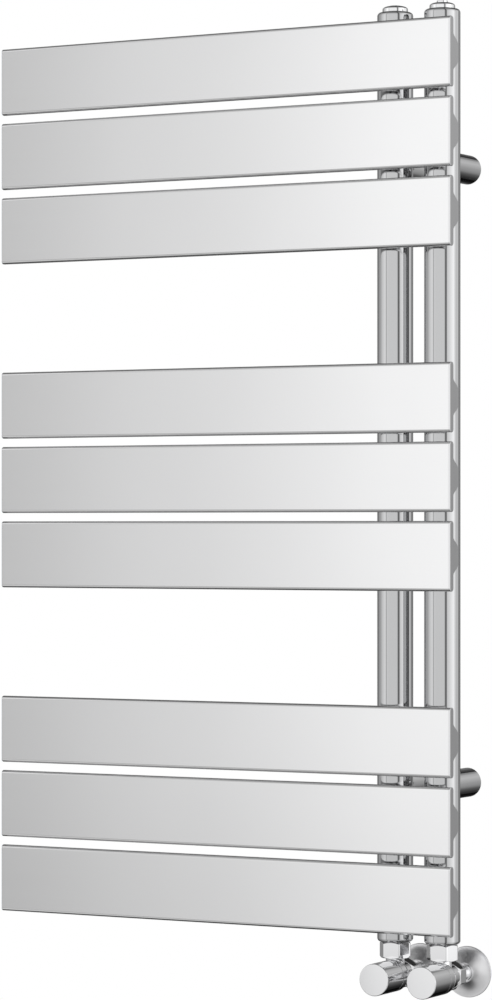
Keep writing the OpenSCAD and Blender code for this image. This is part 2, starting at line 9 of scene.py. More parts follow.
import bmesh
import bpy
from bpy.props import FloatProperty, FloatVectorProperty, PointerProperty
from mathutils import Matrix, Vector


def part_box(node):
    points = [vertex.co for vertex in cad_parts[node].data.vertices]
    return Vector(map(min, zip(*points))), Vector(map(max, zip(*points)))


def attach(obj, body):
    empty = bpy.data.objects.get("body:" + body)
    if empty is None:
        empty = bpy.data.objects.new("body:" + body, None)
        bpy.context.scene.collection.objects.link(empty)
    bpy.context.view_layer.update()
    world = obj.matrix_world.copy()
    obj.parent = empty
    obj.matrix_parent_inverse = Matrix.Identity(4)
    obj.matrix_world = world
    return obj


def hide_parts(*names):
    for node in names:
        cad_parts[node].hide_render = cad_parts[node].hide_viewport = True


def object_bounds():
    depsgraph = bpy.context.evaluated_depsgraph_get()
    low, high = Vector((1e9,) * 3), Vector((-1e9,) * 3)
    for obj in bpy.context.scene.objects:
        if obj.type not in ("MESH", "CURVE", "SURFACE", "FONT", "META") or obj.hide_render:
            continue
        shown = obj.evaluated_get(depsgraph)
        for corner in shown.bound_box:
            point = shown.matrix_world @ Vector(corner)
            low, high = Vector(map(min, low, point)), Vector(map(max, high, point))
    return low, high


bl_info = {
    "name": "Towel Radiator",
    "version": (1, 0, 0),
    "blender": (4, 5, 0),
    "location": "3D View > Sidebar > Radiator",
    "description": "Builds the visible pieces of a chrome towel radiator with corner valves",
    "category": "Object",
}

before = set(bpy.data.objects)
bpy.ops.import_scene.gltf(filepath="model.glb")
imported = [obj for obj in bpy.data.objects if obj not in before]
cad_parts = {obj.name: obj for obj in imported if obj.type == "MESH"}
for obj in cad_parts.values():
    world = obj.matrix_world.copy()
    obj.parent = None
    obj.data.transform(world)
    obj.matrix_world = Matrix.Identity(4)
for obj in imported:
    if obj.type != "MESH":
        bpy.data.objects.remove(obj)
CAD_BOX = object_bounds()

MM = 0.001
SIDES = {"left": -1, "right": 1}
LEVELS = {"bottom": -1, "top": 1}
PANEL_NUMBERS = range(1, 10)
GROUP_SIZE = 3
ROUND_STEPS = 96
CORNER_STEPS = 6
TUBE_STEPS = 144
BULGE_STEPS = 24
TAPER_STEPS = 16
FLARE_STEPS = 8
SHARP_ANGLE = math.radians(35)
# In metres, for a shader or a tree
WELD_DISTANCE = 1e-6
RELIEF_DEPTH = 0.0001
# Clearance of a sliding fit, and between the pipe and what goes round it
SLIP_GAP = 0.2
PIPE_GAP = 0.3


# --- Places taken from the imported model, in millimetres ----------------------------


def node_box(node):
    """Lowest and highest corner of a CAD node, in millimetres."""
    low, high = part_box(node)
    return low / MM, high / MM


def measure_frame():
    """The places and outer sizes that the pieces share."""
    first_low, first_high = node_box("panel_1")
    second_low, _ = node_box("panel_2")
    fourth_low, _ = node_box("panel_4")
    third_low, _ = node_box("panel_3")
    tube_low, tube_high = node_box("collector_right")
    plates_low, _ = node_box("panel_end_caps_left")
    _, plates_high = node_box("panel_end_caps_right")
    body_low, body_high = node_box("valve_body_right")
    knob_low, knob_high = node_box("valve_knob_right")
    pipe_low, pipe_high = node_box("pipe_stub_right")
    _, cap_high = node_box("collector_top_caps")
    cap_low, _ = node_box("collector_bottom_caps")
    sleeve_low, sleeve_high = node_box("bracket_sleeve_top_right")
    return {
        "panel_left": plates_low.x,
        "panel_right": plates_high.x,
        "plate": first_low.x - plates_low.x,
        "panel_front": -first_low.y,
        "panel_depth": first_high.y - first_low.y,
        "panel_height": first_high.z - first_low.z,
        "panel_middle": (first_low.z + first_high.z) / 2,
        "pitch": first_low.z - second_low.z,
        "group_step": third_low.z - fourth_low.z,
        "tube_x": (tube_low.x + tube_high.x) / 2,
        "tube_r": (tube_high.x - tube_low.x) / 2,
        "stand": -(tube_low.y + tube_high.y) / 2,
        "tube_low": tube_low.z,
        "tube_high": tube_high.z,
        "cap_low": cap_low.z,
        "cap_high": cap_high.z,
        "valve_z": (knob_low.z + knob_high.z) / 2,
        "body_r": (knob_high.x - knob_low.x) / 2,
        "body_front": -body_low.y,
        "spigot": -body_high.y,
        "tail_top": body_high.z - (knob_low.z + knob_high.z) / 2,
        "knob_rear": -knob_high.y,
        "knob_front": -knob_low.y,
        "pipe_r": (pipe_high.x - pipe_low.x) / 2,
        "pipe_end": -pipe_low.y,
        "bracket_z": (sleeve_low.z + sleeve_high.z) / 2,
        "sleeve_r": (sleeve_high.x - sleeve_low.x) / 2,
    }


PLACE = measure_frame()


# --- Properties ------------------------------------------------------------------


def millimetres(name, description, default, low=0.0, high=1000.0):
    return FloatProperty(
        name=name,
        description=description + ", in millimetres",
        default=default,
        min=low,
        max=high,
    )


def share(name, description, default):
    return FloatProperty(
        name=name, description=description, default=default, min=0, max=1, subtype="FACTOR"
    )


def colour(name, description, default):
    return FloatVectorProperty(
        name=name, description=description, default=default, size=3, min=0, max=1,
        subtype="COLOR",
    )


class PanelSizes(bpy.types.PropertyGroup):
    """Sizes of the flat panels that the outer box doesn't give."""

    edge_thickness: millimetres("Edge thickness", "Thickness along the long edges", 8.3)
    bulge_base: millimetres("Bulge base", "Height of the rear bulge at its foot", 36.0)
    bulge_flat: millimetres("Bulge flat", "Height of the bulge's flat strip", 17.0)
    edge_radius: millimetres("Edge radius", "Rounding of the long edges", 3.2, 0.2, 4)
    end_radius: millimetres("End radius", "Rounding of the upright end edges", 0.7, 0.2, 2)


class TubeSizes(bpy.types.PropertyGroup):
    """Sizes of the collectors and brackets."""

    end_radius: millimetres("End radius", "Rounding of a collector's ends", 3.4)
    thread_radius: millimetres("Thread radius", "Radius of the thread in the ends", 10.4)
    plug_middle: millimetres("Plug middle", "Radius of a plug's flat middle", 5.2)
    plug_side: millimetres("Plug side", "Height of a plug's straight side", 2.9)
    sleeve_wall: millimetres("Sleeve wall", "Wall of a bracket sleeve", 2.5)
    sleeve_end: millimetres("Sleeve end", "Thickness of the sleeve's closed end", 3.5)
    post_wall: millimetres("Post wall", "Wall of the post in the sleeve", 3.3)
    post_base: millimetres("Post base", "Thickness of the post's base", 4.0)
    wall_hole: millimetres("Wall hole", "Radius of the wall fixing hole", 2.75)
    soft_edge: millimetres("Soft edge", "Rounding of turned and cut edges", 0.5)


class ValveSizes(bpy.types.PropertyGroup):
    """Sizes of the valves and their nuts."""

    union_key: millimetres("Union nut key", "Key width of the union nut", 27.0)
    union_turn: FloatProperty(
        name="Union nut turn", description="Turn of its front face to the right",
        default=math.radians(10), subtype="ANGLE",
    )
    pipe_key: millimetres("Compression nut key", "Key width of the pipe nut", 24.5)
    tail_radius: millimetres("Tail radius", "Radius of the upright tail", 9.0)
    tail_fillet: millimetres("Tail fillet", "Blend between tail and body", 1.2)
    rear_radius: millimetres("Rear radius", "Radius of the valve body's rear", 12.0)
    rear_length: millimetres("Rear length", "From the tail's middle to the rear face", 14.5)
    spigot_radius: millimetres("Spigot radius", "Radius of the threaded spigot", 10.0)
    knob_wall: millimetres("Knob wall", "Wall of the knob", 2.1)
    knob_floor: millimetres("Knob front", "Thickness of the knob's front", 3.0)
    knob_edge: millimetres("Knob edge", "Rounding of the knob's front edge", 0.8)
    flange_sheet: millimetres("Flange sheet", "Sheet thickness of a wall flange", 1.2)


class FinishValues(bpy.types.PropertyGroup):
    """Colours and polish of the finishes."""

    panel_colour: colour("Panel chrome", "Reflection colour of the panels", (0.95, 0.95, 0.955))
    # Darker than the panels' chrome though the collectors are the same chrome: painted shade for
    # the dimmer reflections on them
    tube_colour_painted_shade: colour("Tube chrome painted shade", "Reflection colour of the collectors", (0.60, 0.603, 0.61))
    fitting_colour: colour("Fitting chrome", "Reflection colour of the valves", (0.92, 0.922, 0.93))
    # Darker than the panels' chrome though the end plates are the same chrome: painted shade for
    # their darker end faces
    plate_colour_painted_shade: colour("Plate chrome painted shade", "Reflection colour of the end plates", (0.85, 0.85, 0.86))
    flange_colour: colour("Flange chrome", "Reflection colour of the flanges", (0.9, 0.9, 0.91))
    flange_polish: share("Flange roughness", "Roughness of the wall flanges", 0.3)
    panel_polish: share("Panel roughness", "Roughness of the panels", 0.07)
    tube_polish: share("Tube roughness", "Roughness of the collectors", 0.05)
    fitting_polish: share("Fitting roughness", "Roughness of the valves", 0.04)
    brass_colour: colour("Brass", "Colour of bare brass", (0.80, 0.60, 0.30))
    zinc_colour: colour("Zinc", "Colour of zinc-plated steel", (0.56, 0.57, 0.59))


class StageValues(bpy.types.PropertyGroup):
    """Camera and floor."""

    azimuth: FloatProperty(
        name="Azimuth", description="Turn of the camera to the right of the front",
        default=math.radians(29), subtype="ANGLE",
    )
    eye_x: FloatProperty(
        name="Camera X", description="Camera's place along X", default=1.515, unit="LENGTH"
    )
    eye_y: FloatProperty(
        name="Camera Y", description="Camera's place along Y", default=-3.1297, unit="LENGTH"
    )
    eye_z: FloatProperty(
        name="Camera height", description="Camera's height", default=-0.050, unit="LENGTH"
    )
    lens: FloatProperty(
        name="Lens", description="Focal length", default=0.1292, unit="CAMERA"
    )
    rise: FloatProperty(
        name="Vertical shift", description="Upward shift of the picture", default=0.028
    )
    floor_drop: FloatProperty(
        name="Floor drop", description="Distance from the object down to the floor",
        default=0.35, unit="LENGTH",
    )
    floor_size: FloatProperty(
        name="Floor size", description="Side of the square floor", default=4.0, unit="LENGTH"
    )
    floor_colour: colour("Floor", "Colour of the floor", (0.86, 0.86, 0.86))


def settings(group):
    return getattr(bpy.context.scene, "radiator_" + group)


# --- Mesh building ---------------------------------------------------------------


def arc(centre_x, centre_y, radius, start, end, steps=CORNER_STEPS):
    """Points of an arc, with angles in degrees."""
    points = []
    for k in range(steps + 1):
        a = math.radians(start + (end - start) * k / steps)
        points.append((centre_x + radius * math.cos(a), centre_y + radius * math.sin(a)))
    return points


def ease(t):
    """Smooth step from 0 to 1."""
    t = min(max(t, 0.0), 1.0)
    return t * t * (3 - 2 * t)


def soften(corners, closed=False, steps=4):
    """Rounds a path of (x, y, radius) corners and gives its (x, y) points."""
    points = []
    count = len(corners)
    for k, (x, y, radius) in enumerate(corners):
        at_end = not closed and k in (0, count - 1)
        if radius <= 0 or at_end:
            points.append((x, y))
            continue
        here = Vector((x, y))
        before = Vector(corners[k - 1][:2]) - here
        after = Vector(corners[(k + 1) % count][:2]) - here
        half = before.angle(after) / 2
        reach = min(radius / math.tan(half), before.length * 0.49, after.length * 0.49)
        radius = reach * math.tan(half)
        towards = (before.normalized() + after.normalized()).normalized()
        centre = here + towards * (radius / math.sin(half))
        start = here + before.normalized() * reach - centre
        end = here + after.normalized() * reach - centre
        sweep = start.angle_signed(end)
        for s in range(steps + 1):
            turn = -sweep * s / steps
            c, n = math.cos(turn), math.sin(turn)
            points.append(
                (centre.x + start.x * c - start.y * n, centre.y + start.x * n + start.y * c)
            )
    return points


def up_from(x, y, z):
    """Places local (x, y, height) points on an upright axis."""
    return lambda p: Vector((x + p[0], y + p[1], z + p[2])) * MM


def out_from_wall(x, z):
    """Places local points whose third number is the distance from the wall."""
    return lambda p: Vector((x + p[0], -p[2], z + p[1])) * MM


def new_piece(name, mesh):
    piece = bpy.data.objects.new(name, mesh)
    bpy.context.scene.collection.objects.link(piece)
    return piece


def add_rings(bm, rings, place, closed=False):
    """Joins rings of points with quads and closes the ends, or the loop of rings."""
    made = [[bm.verts.new(place(p)) for p in ring] for ring in rings]
    pairs = list(zip(made, made[1:]))
    if closed:
        pairs.append((made[-1], made[0]))
    for one, two in pairs:
        for k in range(len(one)):
            j = (k + 1) % len(one)
            bm.faces.new((one[k], one[j], two[j], two[k]))
    if not closed:
        bm.faces.new(made[0])
        bm.faces.new(made[-1])


def turned_rings(profile, steps=ROUND_STEPS, shape=None):
    """Rings of a turned profile of (radius, height) points.

    shape, if given, bends the radius and height at an angle.
    """
    rings = []
    for radius, height in profile:
        ring = []
        for k in range(steps):
            a = 2 * math.pi * k / steps
            r, h = shape(radius, height, a) if shape else (radius, height)
            ring.append((r * math.cos(a), r * math.sin(a), h))
        rings.append(ring)
    return rings


def shell_mesh(name, shells):
    """One mesh of closed shells, each (rings, place, closed), with its faces outwards."""
    bm = bmesh.new()
    for rings, place, closed in shells:
        add_rings(bm, rings, place, closed)
    bmesh.ops.recalc_face_normals(bm, faces=bm.faces)
    mesh = bpy.data.meshes.new(name)
    bm.to_mesh(mesh)
    bm.free()
    return mesh


def settle(piece):
    """Turns a piece with live modifiers into a plain mesh."""
    depsgraph = bpy.context.evaluated_depsgraph_get()
    mesh = bpy.data.meshes.new_from_object(
        piece.evaluated_get(depsgraph), preserve_all_data_layers=True, depsgraph=depsgraph
    )
    mesh.name = piece.name
    piece.modifiers.clear()
    piece.data = mesh
    return piece


def polish_normals(piece):
    """Smooth shading that keeps flats flat next to small roundings."""
    piece.data.shade_smooth()
    piece.data.set_sharp_from_angle(angle=SHARP_ANGLE)
    modifier = piece.modifiers.new("flat faces", "WEIGHTED_NORMAL")
    modifier.mode = "FACE_AREA"
    modifier.keep_sharp = True
    return settle(piece)


def finish_piece(piece, material, slot, body, *nodes):
    """Gives a piece its finish and lets it stand for its CAD nodes."""
    piece.data.materials.clear()
    piece.data.materials.append(material)
    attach(piece, body)
    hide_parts(*nodes)


def shell_piece(name, shells, material, slot, body, *nodes):
    """Makes a piece from closed shells, with its finish and its CAD nodes."""
    piece = polish_normals(new_piece(name, shell_mesh(name, shells)))
    finish_piece(piece, material, slot, body, *nodes)


# --- Geometry node trees ---------------------------------------------------------


def new_tree(name):
    tree = bpy.data.node_groups.new(name, "GeometryNodeTree")
    tree.is_modifier = True
    tree.interface.new_socket("Geometry", in_out="INPUT", socket_type="NodeSocketGeometry")
    tree.interface.new_socket("Geometry", in_out="OUTPUT", socket_type="NodeSocketGeometry")
    return tree


def tree_input(tree, name, kind, default=None):
    socket = tree.interface.new_socket(name, in_out="INPUT", socket_type=kind)
    if default is not None:
        socket.default_value = default


def add_node(tree, kind, **values):
    """A node with its options and its input values set by name."""
    node = tree.nodes.new(kind)
    for key, value in values.items():
        if key in node.bl_rna.properties:
            setattr(node, key, value)
        else:
            node.inputs[key.replace("_", " ")].default_value = value
    return node


def end_tree(tree, geometry, entry):
    """Closes a tree with Realize Instances and Set Material."""
    realize = add_node(tree, "GeometryNodeRealizeInstances")
    finish = add_node(tree, "GeometryNodeSetMaterial")
    exit_node = add_node(tree, "NodeGroupOutput")
    tree.links.new(geometry, realize.inputs["Geometry"])
    tree.links.new(realize.outputs["Geometry"], finish.inputs["Geometry"])
    tree.links.new(entry.outputs["Material"], finish.inputs["Material"])
    tree.links.new(finish.outputs["Geometry"], exit_node.inputs["Geometry"])


def bar_tree():
    """Draws an outline's face out along a path into a closed bar."""
    tree = bpy.data.node_groups.get("Drawn Bar")
    if tree:
        return tree
    tree = new_tree("Drawn Bar")
    tree_input(tree, "Path", "NodeSocketVector", (0, 0, 1))
    tree_input(tree, "Material", "NodeSocketMaterial")
    entry = add_node(tree, "NodeGroupInput")
    draw = add_node(tree, "GeometryNodeExtrudeMesh", mode="FACES")
    draw.inputs["Individual"].default_value = False
    draw.inputs["Offset Scale"].default_value = 1.0
    turn = add_node(tree, "GeometryNodeFlipFaces")
    join = add_node(tree, "GeometryNodeJoinGeometry")
    merge = add_node(tree, "GeometryNodeMergeByDistance")
    merge.inputs["Distance"].default_value = WELD_DISTANCE
    link = tree.links.new
    link(entry.outputs["Geometry"], draw.inputs["Mesh"])
    link(entry.outputs["Path"], draw.inputs["Offset"])
    link(entry.outputs["Geometry"], turn.inputs["Mesh"])
    link(draw.outputs["Mesh"], join.inputs["Geometry"])
    link(turn.outputs["Mesh"], join.inputs["Geometry"])
    link(join.outputs["Geometry"], merge.inputs["Geometry"])
    end_tree(tree, merge.outputs["Geometry"], entry)
    return tree


def group_stack_tree():
    """Repeats a piece downwards at a pitch, with an extra step between groups."""
    tree = bpy.data.node_groups.get("Stack in Groups")
    if tree:
        return tree
    tree = new_tree("Stack in Groups")
    tree_input(tree, "Count", "NodeSocketInt", 9)
    tree_input(tree, "Group Size", "NodeSocketInt", 3)
    tree_input(tree, "Pitch", "NodeSocketFloat", 0.0748)
    tree_input(tree, "Extra Step", "NodeSocketFloat", 0.1)
    tree_input(tree, "Material", "NodeSocketMaterial")
    entry = add_node(tree, "NodeGroupInput")
    points = add_node(tree, "GeometryNodePoints")
    index = add_node(tree, "GeometryNodeInputIndex")
    down = add_node(tree, "ShaderNodeMath", operation="MULTIPLY")
    group = add_node(tree, "ShaderNodeMath", operation="DIVIDE")
    whole = add_node(tree, "ShaderNodeMath", operation="FLOOR")
    extra = add_node(tree, "ShaderNodeMath", operation="MULTIPLY")
    total = add_node(tree, "ShaderNodeMath", operation="ADD")
    below = add_node(tree, "ShaderNodeMath", operation="MULTIPLY")
    below.inputs[1].default_value = -1.0
    offset = add_node(tree, "ShaderNodeCombineXYZ")
    shift = add_node(tree, "GeometryNodeSetPosition")
    spread = add_node(tree, "GeometryNodeInstanceOnPoints")
    link = tree.links.new
    link(entry.outputs["Count"], points.inputs["Count"])
    link(index.outputs["Index"], down.inputs[0])
    link(entry.outputs["Pitch"], down.inputs[1])
    link(index.outputs["Index"], group.inputs[0])
    link(entry.outputs["Group Size"], group.inputs[1])
    link(group.outputs[0], whole.inputs[0])
    link(whole.outputs[0], extra.inputs[0])
    link(entry.outputs["Extra Step"], extra.inputs[1])
    link(down.outputs[0], total.inputs[0])
    link(extra.outputs[0], total.inputs[1])
    link(total.outputs[0], below.inputs[0])
    link(below.outputs[0], offset.inputs["Z"])
    link(points.outputs[0], shift.inputs["Geometry"])
    link(offset.outputs[0], shift.inputs["Position"])
    link(shift.outputs["Geometry"], spread.inputs["Points"])
    link(entry.outputs["Geometry"], spread.inputs["Instance"])
    end_tree(tree, spread.outputs["Instances"], entry)
    return tree


def corner_tree():
    """Repeats a piece on the four corners of an upright rectangle."""
    tree = bpy.data.node_groups.get("On Four Corners")
    if tree:
        return tree
    tree = new_tree("On Four Corners")
    tree_input(tree, "Width", "NodeSocketFloat", 0.05)
    tree_input(tree, "Height", "NodeSocketFloat", 0.59)
    tree_input(tree, "Material", "NodeSocketMaterial")
    entry = add_node(tree, "NodeGroupInput")
    grid = add_node(tree, "GeometryNodeMeshGrid", Vertices_X=2, Vertices_Y=2)
    upright = add_node(tree, "GeometryNodeTransform")
    upright.inputs["Rotation"].default_value = (math.pi / 2, 0, 0)
    spread = add_node(tree, "GeometryNodeInstanceOnPoints")
    link = tree.links.new
    link(entry.outputs["Width"], grid.inputs["Size X"])
    link(entry.outputs["Height"], grid.inputs["Size Y"])
    link(grid.outputs["Mesh"], upright.inputs["Geometry"])
    link(upright.outputs["Geometry"], spread.inputs["Points"])
    link(entry.outputs["Geometry"], spread.inputs["Instance"])
    end_tree(tree, spread.outputs["Instances"], entry)
    return tree


def run_tree(piece, tree, values):
    """Runs a tree on a piece, with its inputs given by name, and keeps the result."""
    modifier = piece.modifiers.new(tree.name, "NODES")
    modifier.node_group = tree
    for item in tree.interface.items_tree:
        if item.item_type == "SOCKET" and item.in_out == "INPUT" and item.name in values:
            modifier[item.identifier] = values[item.name]
    return settle(piece)


# --- Finishes --------------------------------------------------------------------


def shader_group(name, inputs, outputs):
    group = bpy.data.node_groups.new(name, "ShaderNodeTree")
    for label, kind, default in inputs:
        socket = group.interface.new_socket(label, in_out="INPUT", socket_type=kind)
        if default is not None:
            socket.default_value = default
    for label, kind in outputs:
        group.interface.new_socket(label, in_out="OUTPUT", socket_type=kind)
    return group


def math_node(tree, operation, first, second=None, clamp=False):
    """A maths node whose inputs are sockets or numbers; gives its output."""
    node = tree.nodes.new("ShaderNodeMath")
    node.operation = operation
    node.use_clamp = clamp
    for slot_number, value in enumerate((first, second)):
        if value is None:
            continue
        if isinstance(value, (int, float)):
            node.inputs[slot_number].default_value = value
        else:
            tree.links.new(value, node.inputs[slot_number])
    return node.outputs[0]


def polish_group():
    """Wipe marks and fine buffing lines of a plated surface.

    It puts out a roughness that varies, a tone for the colour and a height for a bump.
    """
    group = bpy.data.node_groups.get("Polish Marks")
    if group:
        return group
    group = shader_group(
        "Polish Marks",
        [
            ("Vector", "NodeSocketVector", None),
            ("Roughness", "NodeSocketFloat", 0.05),
            ("Wipe Amount", "NodeSocketFloat", 0.02),
            ("Line Amount", "NodeSocketFloat", 0.02),
            ("Line Direction", "NodeSocketVector", (1, 1, 1)),
        ],
        [
            ("Roughness", "NodeSocketFloat"),
            ("Tone", "NodeSocketFloat"),
            ("Height", "NodeSocketFloat"),
        ],
    )
    link = group.links.new
    entry = group.nodes.new("NodeGroupInput")
    exit_node = group.nodes.new("NodeGroupOutput")
    wipes = group.nodes.new("ShaderNodeTexNoise")
    wipes.inputs["Scale"].default_value = 9.0
    wipes.inputs["Detail"].default_value = 3.0
    wipes.inputs["Distortion"].default_value = 0.6
    stretch = group.nodes.new("ShaderNodeVectorMath")
    stretch.operation = "MULTIPLY"
    lines = group.nodes.new("ShaderNodeTexNoise")
    lines.inputs["Scale"].default_value = 60.0
    lines.inputs["Detail"].default_value = 2.0
    link(entry.outputs["Vector"], wipes.inputs["Vector"])
    link(entry.outputs["Vector"], stretch.inputs[0])
    link(entry.outputs["Line Direction"], stretch.inputs[1])
    link(stretch.outputs["Vector"], lines.inputs["Vector"])
    wipe = math_node(group, "SUBTRACT", wipes.outputs["Fac"], 0.5)
    line = math_node(group, "SUBTRACT", lines.outputs["Fac"], 0.5)
    wiped = math_node(group, "MULTIPLY", wipe, entry.outputs["Wipe Amount"])
    lined = math_node(group, "MULTIPLY", line, entry.outputs["Line Amount"])
    marks = math_node(group, "ADD", wiped, lined)
    rough = math_node(group, "ADD", marks, entry.outputs["Roughness"], clamp=True)
    tone = math_node(group, "SUBTRACT", 1.0, math_node(group, "MULTIPLY", wiped, 1.5))
    link(rough, exit_node.inputs["Roughness"])
    link(tone, exit_node.inputs["Tone"])
    link(lines.outputs["Fac"], exit_node.inputs["Height"])
    return group


def new_material(name, metallic):
    """A material with its Principled shader, ready for its colour and polish."""
    material = bpy.data.materials.new(name)
    material.use_nodes = True
    shader = material.node_tree.nodes["Principled BSDF"]
    shader.inputs["Metallic"].default_value = metallic
    return material, material.node_tree, shader


def finish(name, base, roughness, metallic=1.0, wipe=0.02, line=0.015,
           line_direction=(1, 1, 1), bump=0.0):
    """A finish whose colour, roughness and relief come from the polish marks."""
    found = bpy.data.materials.get(name)
    if found:
        return found
    material, tree, shader = new_material(name, metallic)
    place = tree.nodes.new("ShaderNodeTexCoord")
    marks = tree.nodes.new("ShaderNodeGroup")
    marks.node_tree = polish_group()
    marks.inputs["Roughness"].default_value = roughness
    marks.inputs["Wipe Amount"].default_value = wipe
    marks.inputs["Line Amount"].default_value = line
    marks.inputs["Line Direction"].default_value = line_direction
    tint = tree.nodes.new("ShaderNodeVectorMath")
    tint.operation = "SCALE"
    tint.inputs[0].default_value = tuple(base)
    link = tree.links.new
    link(place.outputs["Object"], marks.inputs["Vector"])
    link(marks.outputs["Roughness"], shader.inputs["Roughness"])
    link(marks.outputs["Tone"], tint.inputs["Scale"])
    link(tint.outputs[0], shader.inputs["Base Color"])
    if bump:
        relief = tree.nodes.new("ShaderNodeBump")
        relief.inputs["Strength"].default_value = bump
        relief.inputs["Distance"].default_value = RELIEF_DEPTH
        link(marks.outputs["Height"], relief.inputs["Height"])
        link(relief.outputs["Normal"], shader.inputs["Normal"])
    return material


def panel_chrome():
    look = settings("finishes")
    return finish("Panel Chrome", look.panel_colour, look.panel_polish,
                  line_direction=(0.15, 1, 6), line=0.03)


# The collectors and their end caps get the panels' chrome darkened: painted shade
def tube_chrome_painted_shade():
    look = settings("finishes")
    return finish("Tube Chrome Painted Shade", look.tube_colour_painted_shade, look.tube_polish,
                  line_direction=(6, 6, 0.1))


def fitting_chrome():
    look = settings("finishes")
    return finish("Fitting Chrome", look.fitting_colour, look.fitting_polish)


# The end plates get the panels' chrome darkened: painted shade
def plate_chrome_painted_shade():
    look = settings("finishes")
    return finish("End Plate Chrome Painted Shade", look.plate_colour_painted_shade, look.panel_polish, line=0.03)


def flange_chrome():
    look = settings("finishes")
    return finish("Flange Chrome", look.flange_colour, look.flange_polish, line=0.03)


def bare_brass():
    look = settings("finishes")
    return finish("Turned Brass", look.brass_colour, 0.28, wipe=0.1, line=0.12, bump=0.3)


def zinc_steel():
    look = settings("finishes")
    return finish("Zinc Steel", look.zinc_colour, 0.35, wipe=0.15, line=0.1, bump=0.3)


def black_rubber():
    return finish("Black Rubber", (0.02, 0.02, 0.022), 0.6, metallic=0.0, wipe=0.15,
                  bump=0.4)


def white_plastic():
    return finish("White Plastic", (0.80, 0.79, 0.75), 0.42, metallic=0.0, wipe=0.1,
                  bump=0.2)


# --- Panels ----------------------------------------------------------------------


def panel_outline(inset=0.0):
    """A panel's section as (depth from the front, height from the middle) points."""
    sizes = settings("panels")
    half = PLACE["panel_height"] / 2 - inset
    radius = max(sizes.edge_radius - inset, 0.4)
    back = sizes.edge_thickness - inset
    base = sizes.bulge_base / 2 - inset
    flat = sizes.bulge_flat / 2 - inset
    rise = PLACE["panel_depth"] - sizes.edge_thickness
    bulge = []
    for k in range(2 * BULGE_STEPS + 1):
        height = base * (k / BULGE_STEPS - 1)
        depth = back + rise * ease((base - abs(height)) / (base - flat))
        bulge.append((depth, height))
    return (
        arc(inset + radius, -half + radius, radius, 180, 270)
        + arc(back - radius, -half + radius, radius, 270, 360)
        + bulge
        + arc(back - radius, half - radius, radius, 0, 90)
        + arc(inset + radius, half - radius, radius, 90, 180)
    )


def outline_face(name, points):
    """A mesh of one face through points in metres."""
    mesh = bpy.data.meshes.new(name)
    mesh.from_pydata(points, [], [list(range(len(points)))])
    mesh.update()
    return mesh


def panel_point(x, middle):
    """Places outline points of a panel at x."""
    return lambda p: Vector((x, p[0] - PLACE["panel_front"], middle + p[1])) * MM


class RADIATOR_OT_panels(bpy.types.Operator):
    """Draw the nine flat panels from their section"""

    bl_idname = "radiator.panels"
    bl_label = "Flat Panels"

    def execute(self, context):
        left = PLACE["panel_left"] + PLACE["plate"]
        length = PLACE["panel_right"] - PLACE["plate"] - left
        for number in PANEL_NUMBERS:
            low, high = node_box(f"panel_{number}")
            place = panel_point(left, (low.z + high.z) / 2)
            name = f"flat_panel_{number}"
            face = outline_face(name, [place(p) for p in reversed(panel_outline())])
            piece = run_tree(
                new_piece(name, face),
                bar_tree(),
                {"Path": (length * MM, 0, 0), "Material": panel_chrome()},
            )
            polish_normals(piece)
            finish_piece(piece, panel_chrome(), "chrome_panels", "radiator", f"panel_{number}")
        return {"FINISHED"}


def end_plate_rings(side):
    """Rings of one end plate, from its joint with the panel to its rounded face."""
    radius = settings("panels").end_radius
    outer = PLACE["panel_left"] if side < 0 else PLACE["panel_right"]
    inner = outer - side * PLACE["plate"]
    rings = [[(p[0], p[1], inner) for p in panel_outline()]]
    for k in range(CORNER_STEPS + 1):
        a = math.radians(90 * k / CORNER_STEPS)
        inset = radius * (1 - math.cos(a))
        x = outer - side * radius * (1 - math.sin(a))
        rings.append([(p[0], p[1], x) for p in panel_outline(inset)])
    return rings


class RADIATOR_OT_end_plates(bpy.types.Operator):
    """Round off the panel ends and repeat them down the radiator"""

    bl_idname = "radiator.end_plates"
    bl_label = "Panel End Plates"

    def execute(self, context):
        front, middle = PLACE["panel_front"], PLACE["panel_middle"]

        def place(p):
            return Vector((p[2], p[0] - front, middle + p[1])) * MM

        for word, side in SIDES.items():
            name = f"panel_end_plates_{word}"
            piece = new_piece(name, shell_mesh(name, [(end_plate_rings(side), place, False)]))
            run_tree(
                piece,
                group_stack_tree(),
                {
                    "Count": len(PANEL_NUMBERS),
                    "Group Size": GROUP_SIZE,
                    "Pitch": PLACE["pitch"] * MM,
                    "Extra Step": (PLACE["group_step"] - PLACE["pitch"]) * MM,
                    "Material": plate_chrome_painted_shade(),
                },
            )
            polish_normals(piece)
            finish_piece(piece, plate_chrome_painted_shade(), "chrome_panels", "radiator",
                         f"panel_end_caps_{word}")
        return {"FINISHED"}


# --- Collectors ------------------------------------------------------------------


def end_cap_rings(direction, low, high):
    """Rings of a collector's end cap, rounded where it faces away from the tube."""
    radius = settings("tubes").end_radius
    start, end = (low, high) if direction > 0 else (high, low)
    profile = [(PLACE["tube_r"], start)]
    for r, h in arc(PLACE["tube_r"] - radius, 0, radius, 0, 90, 10):
        profile.append((r, end - direction * (radius - h)))
    return turned_rings(profile)


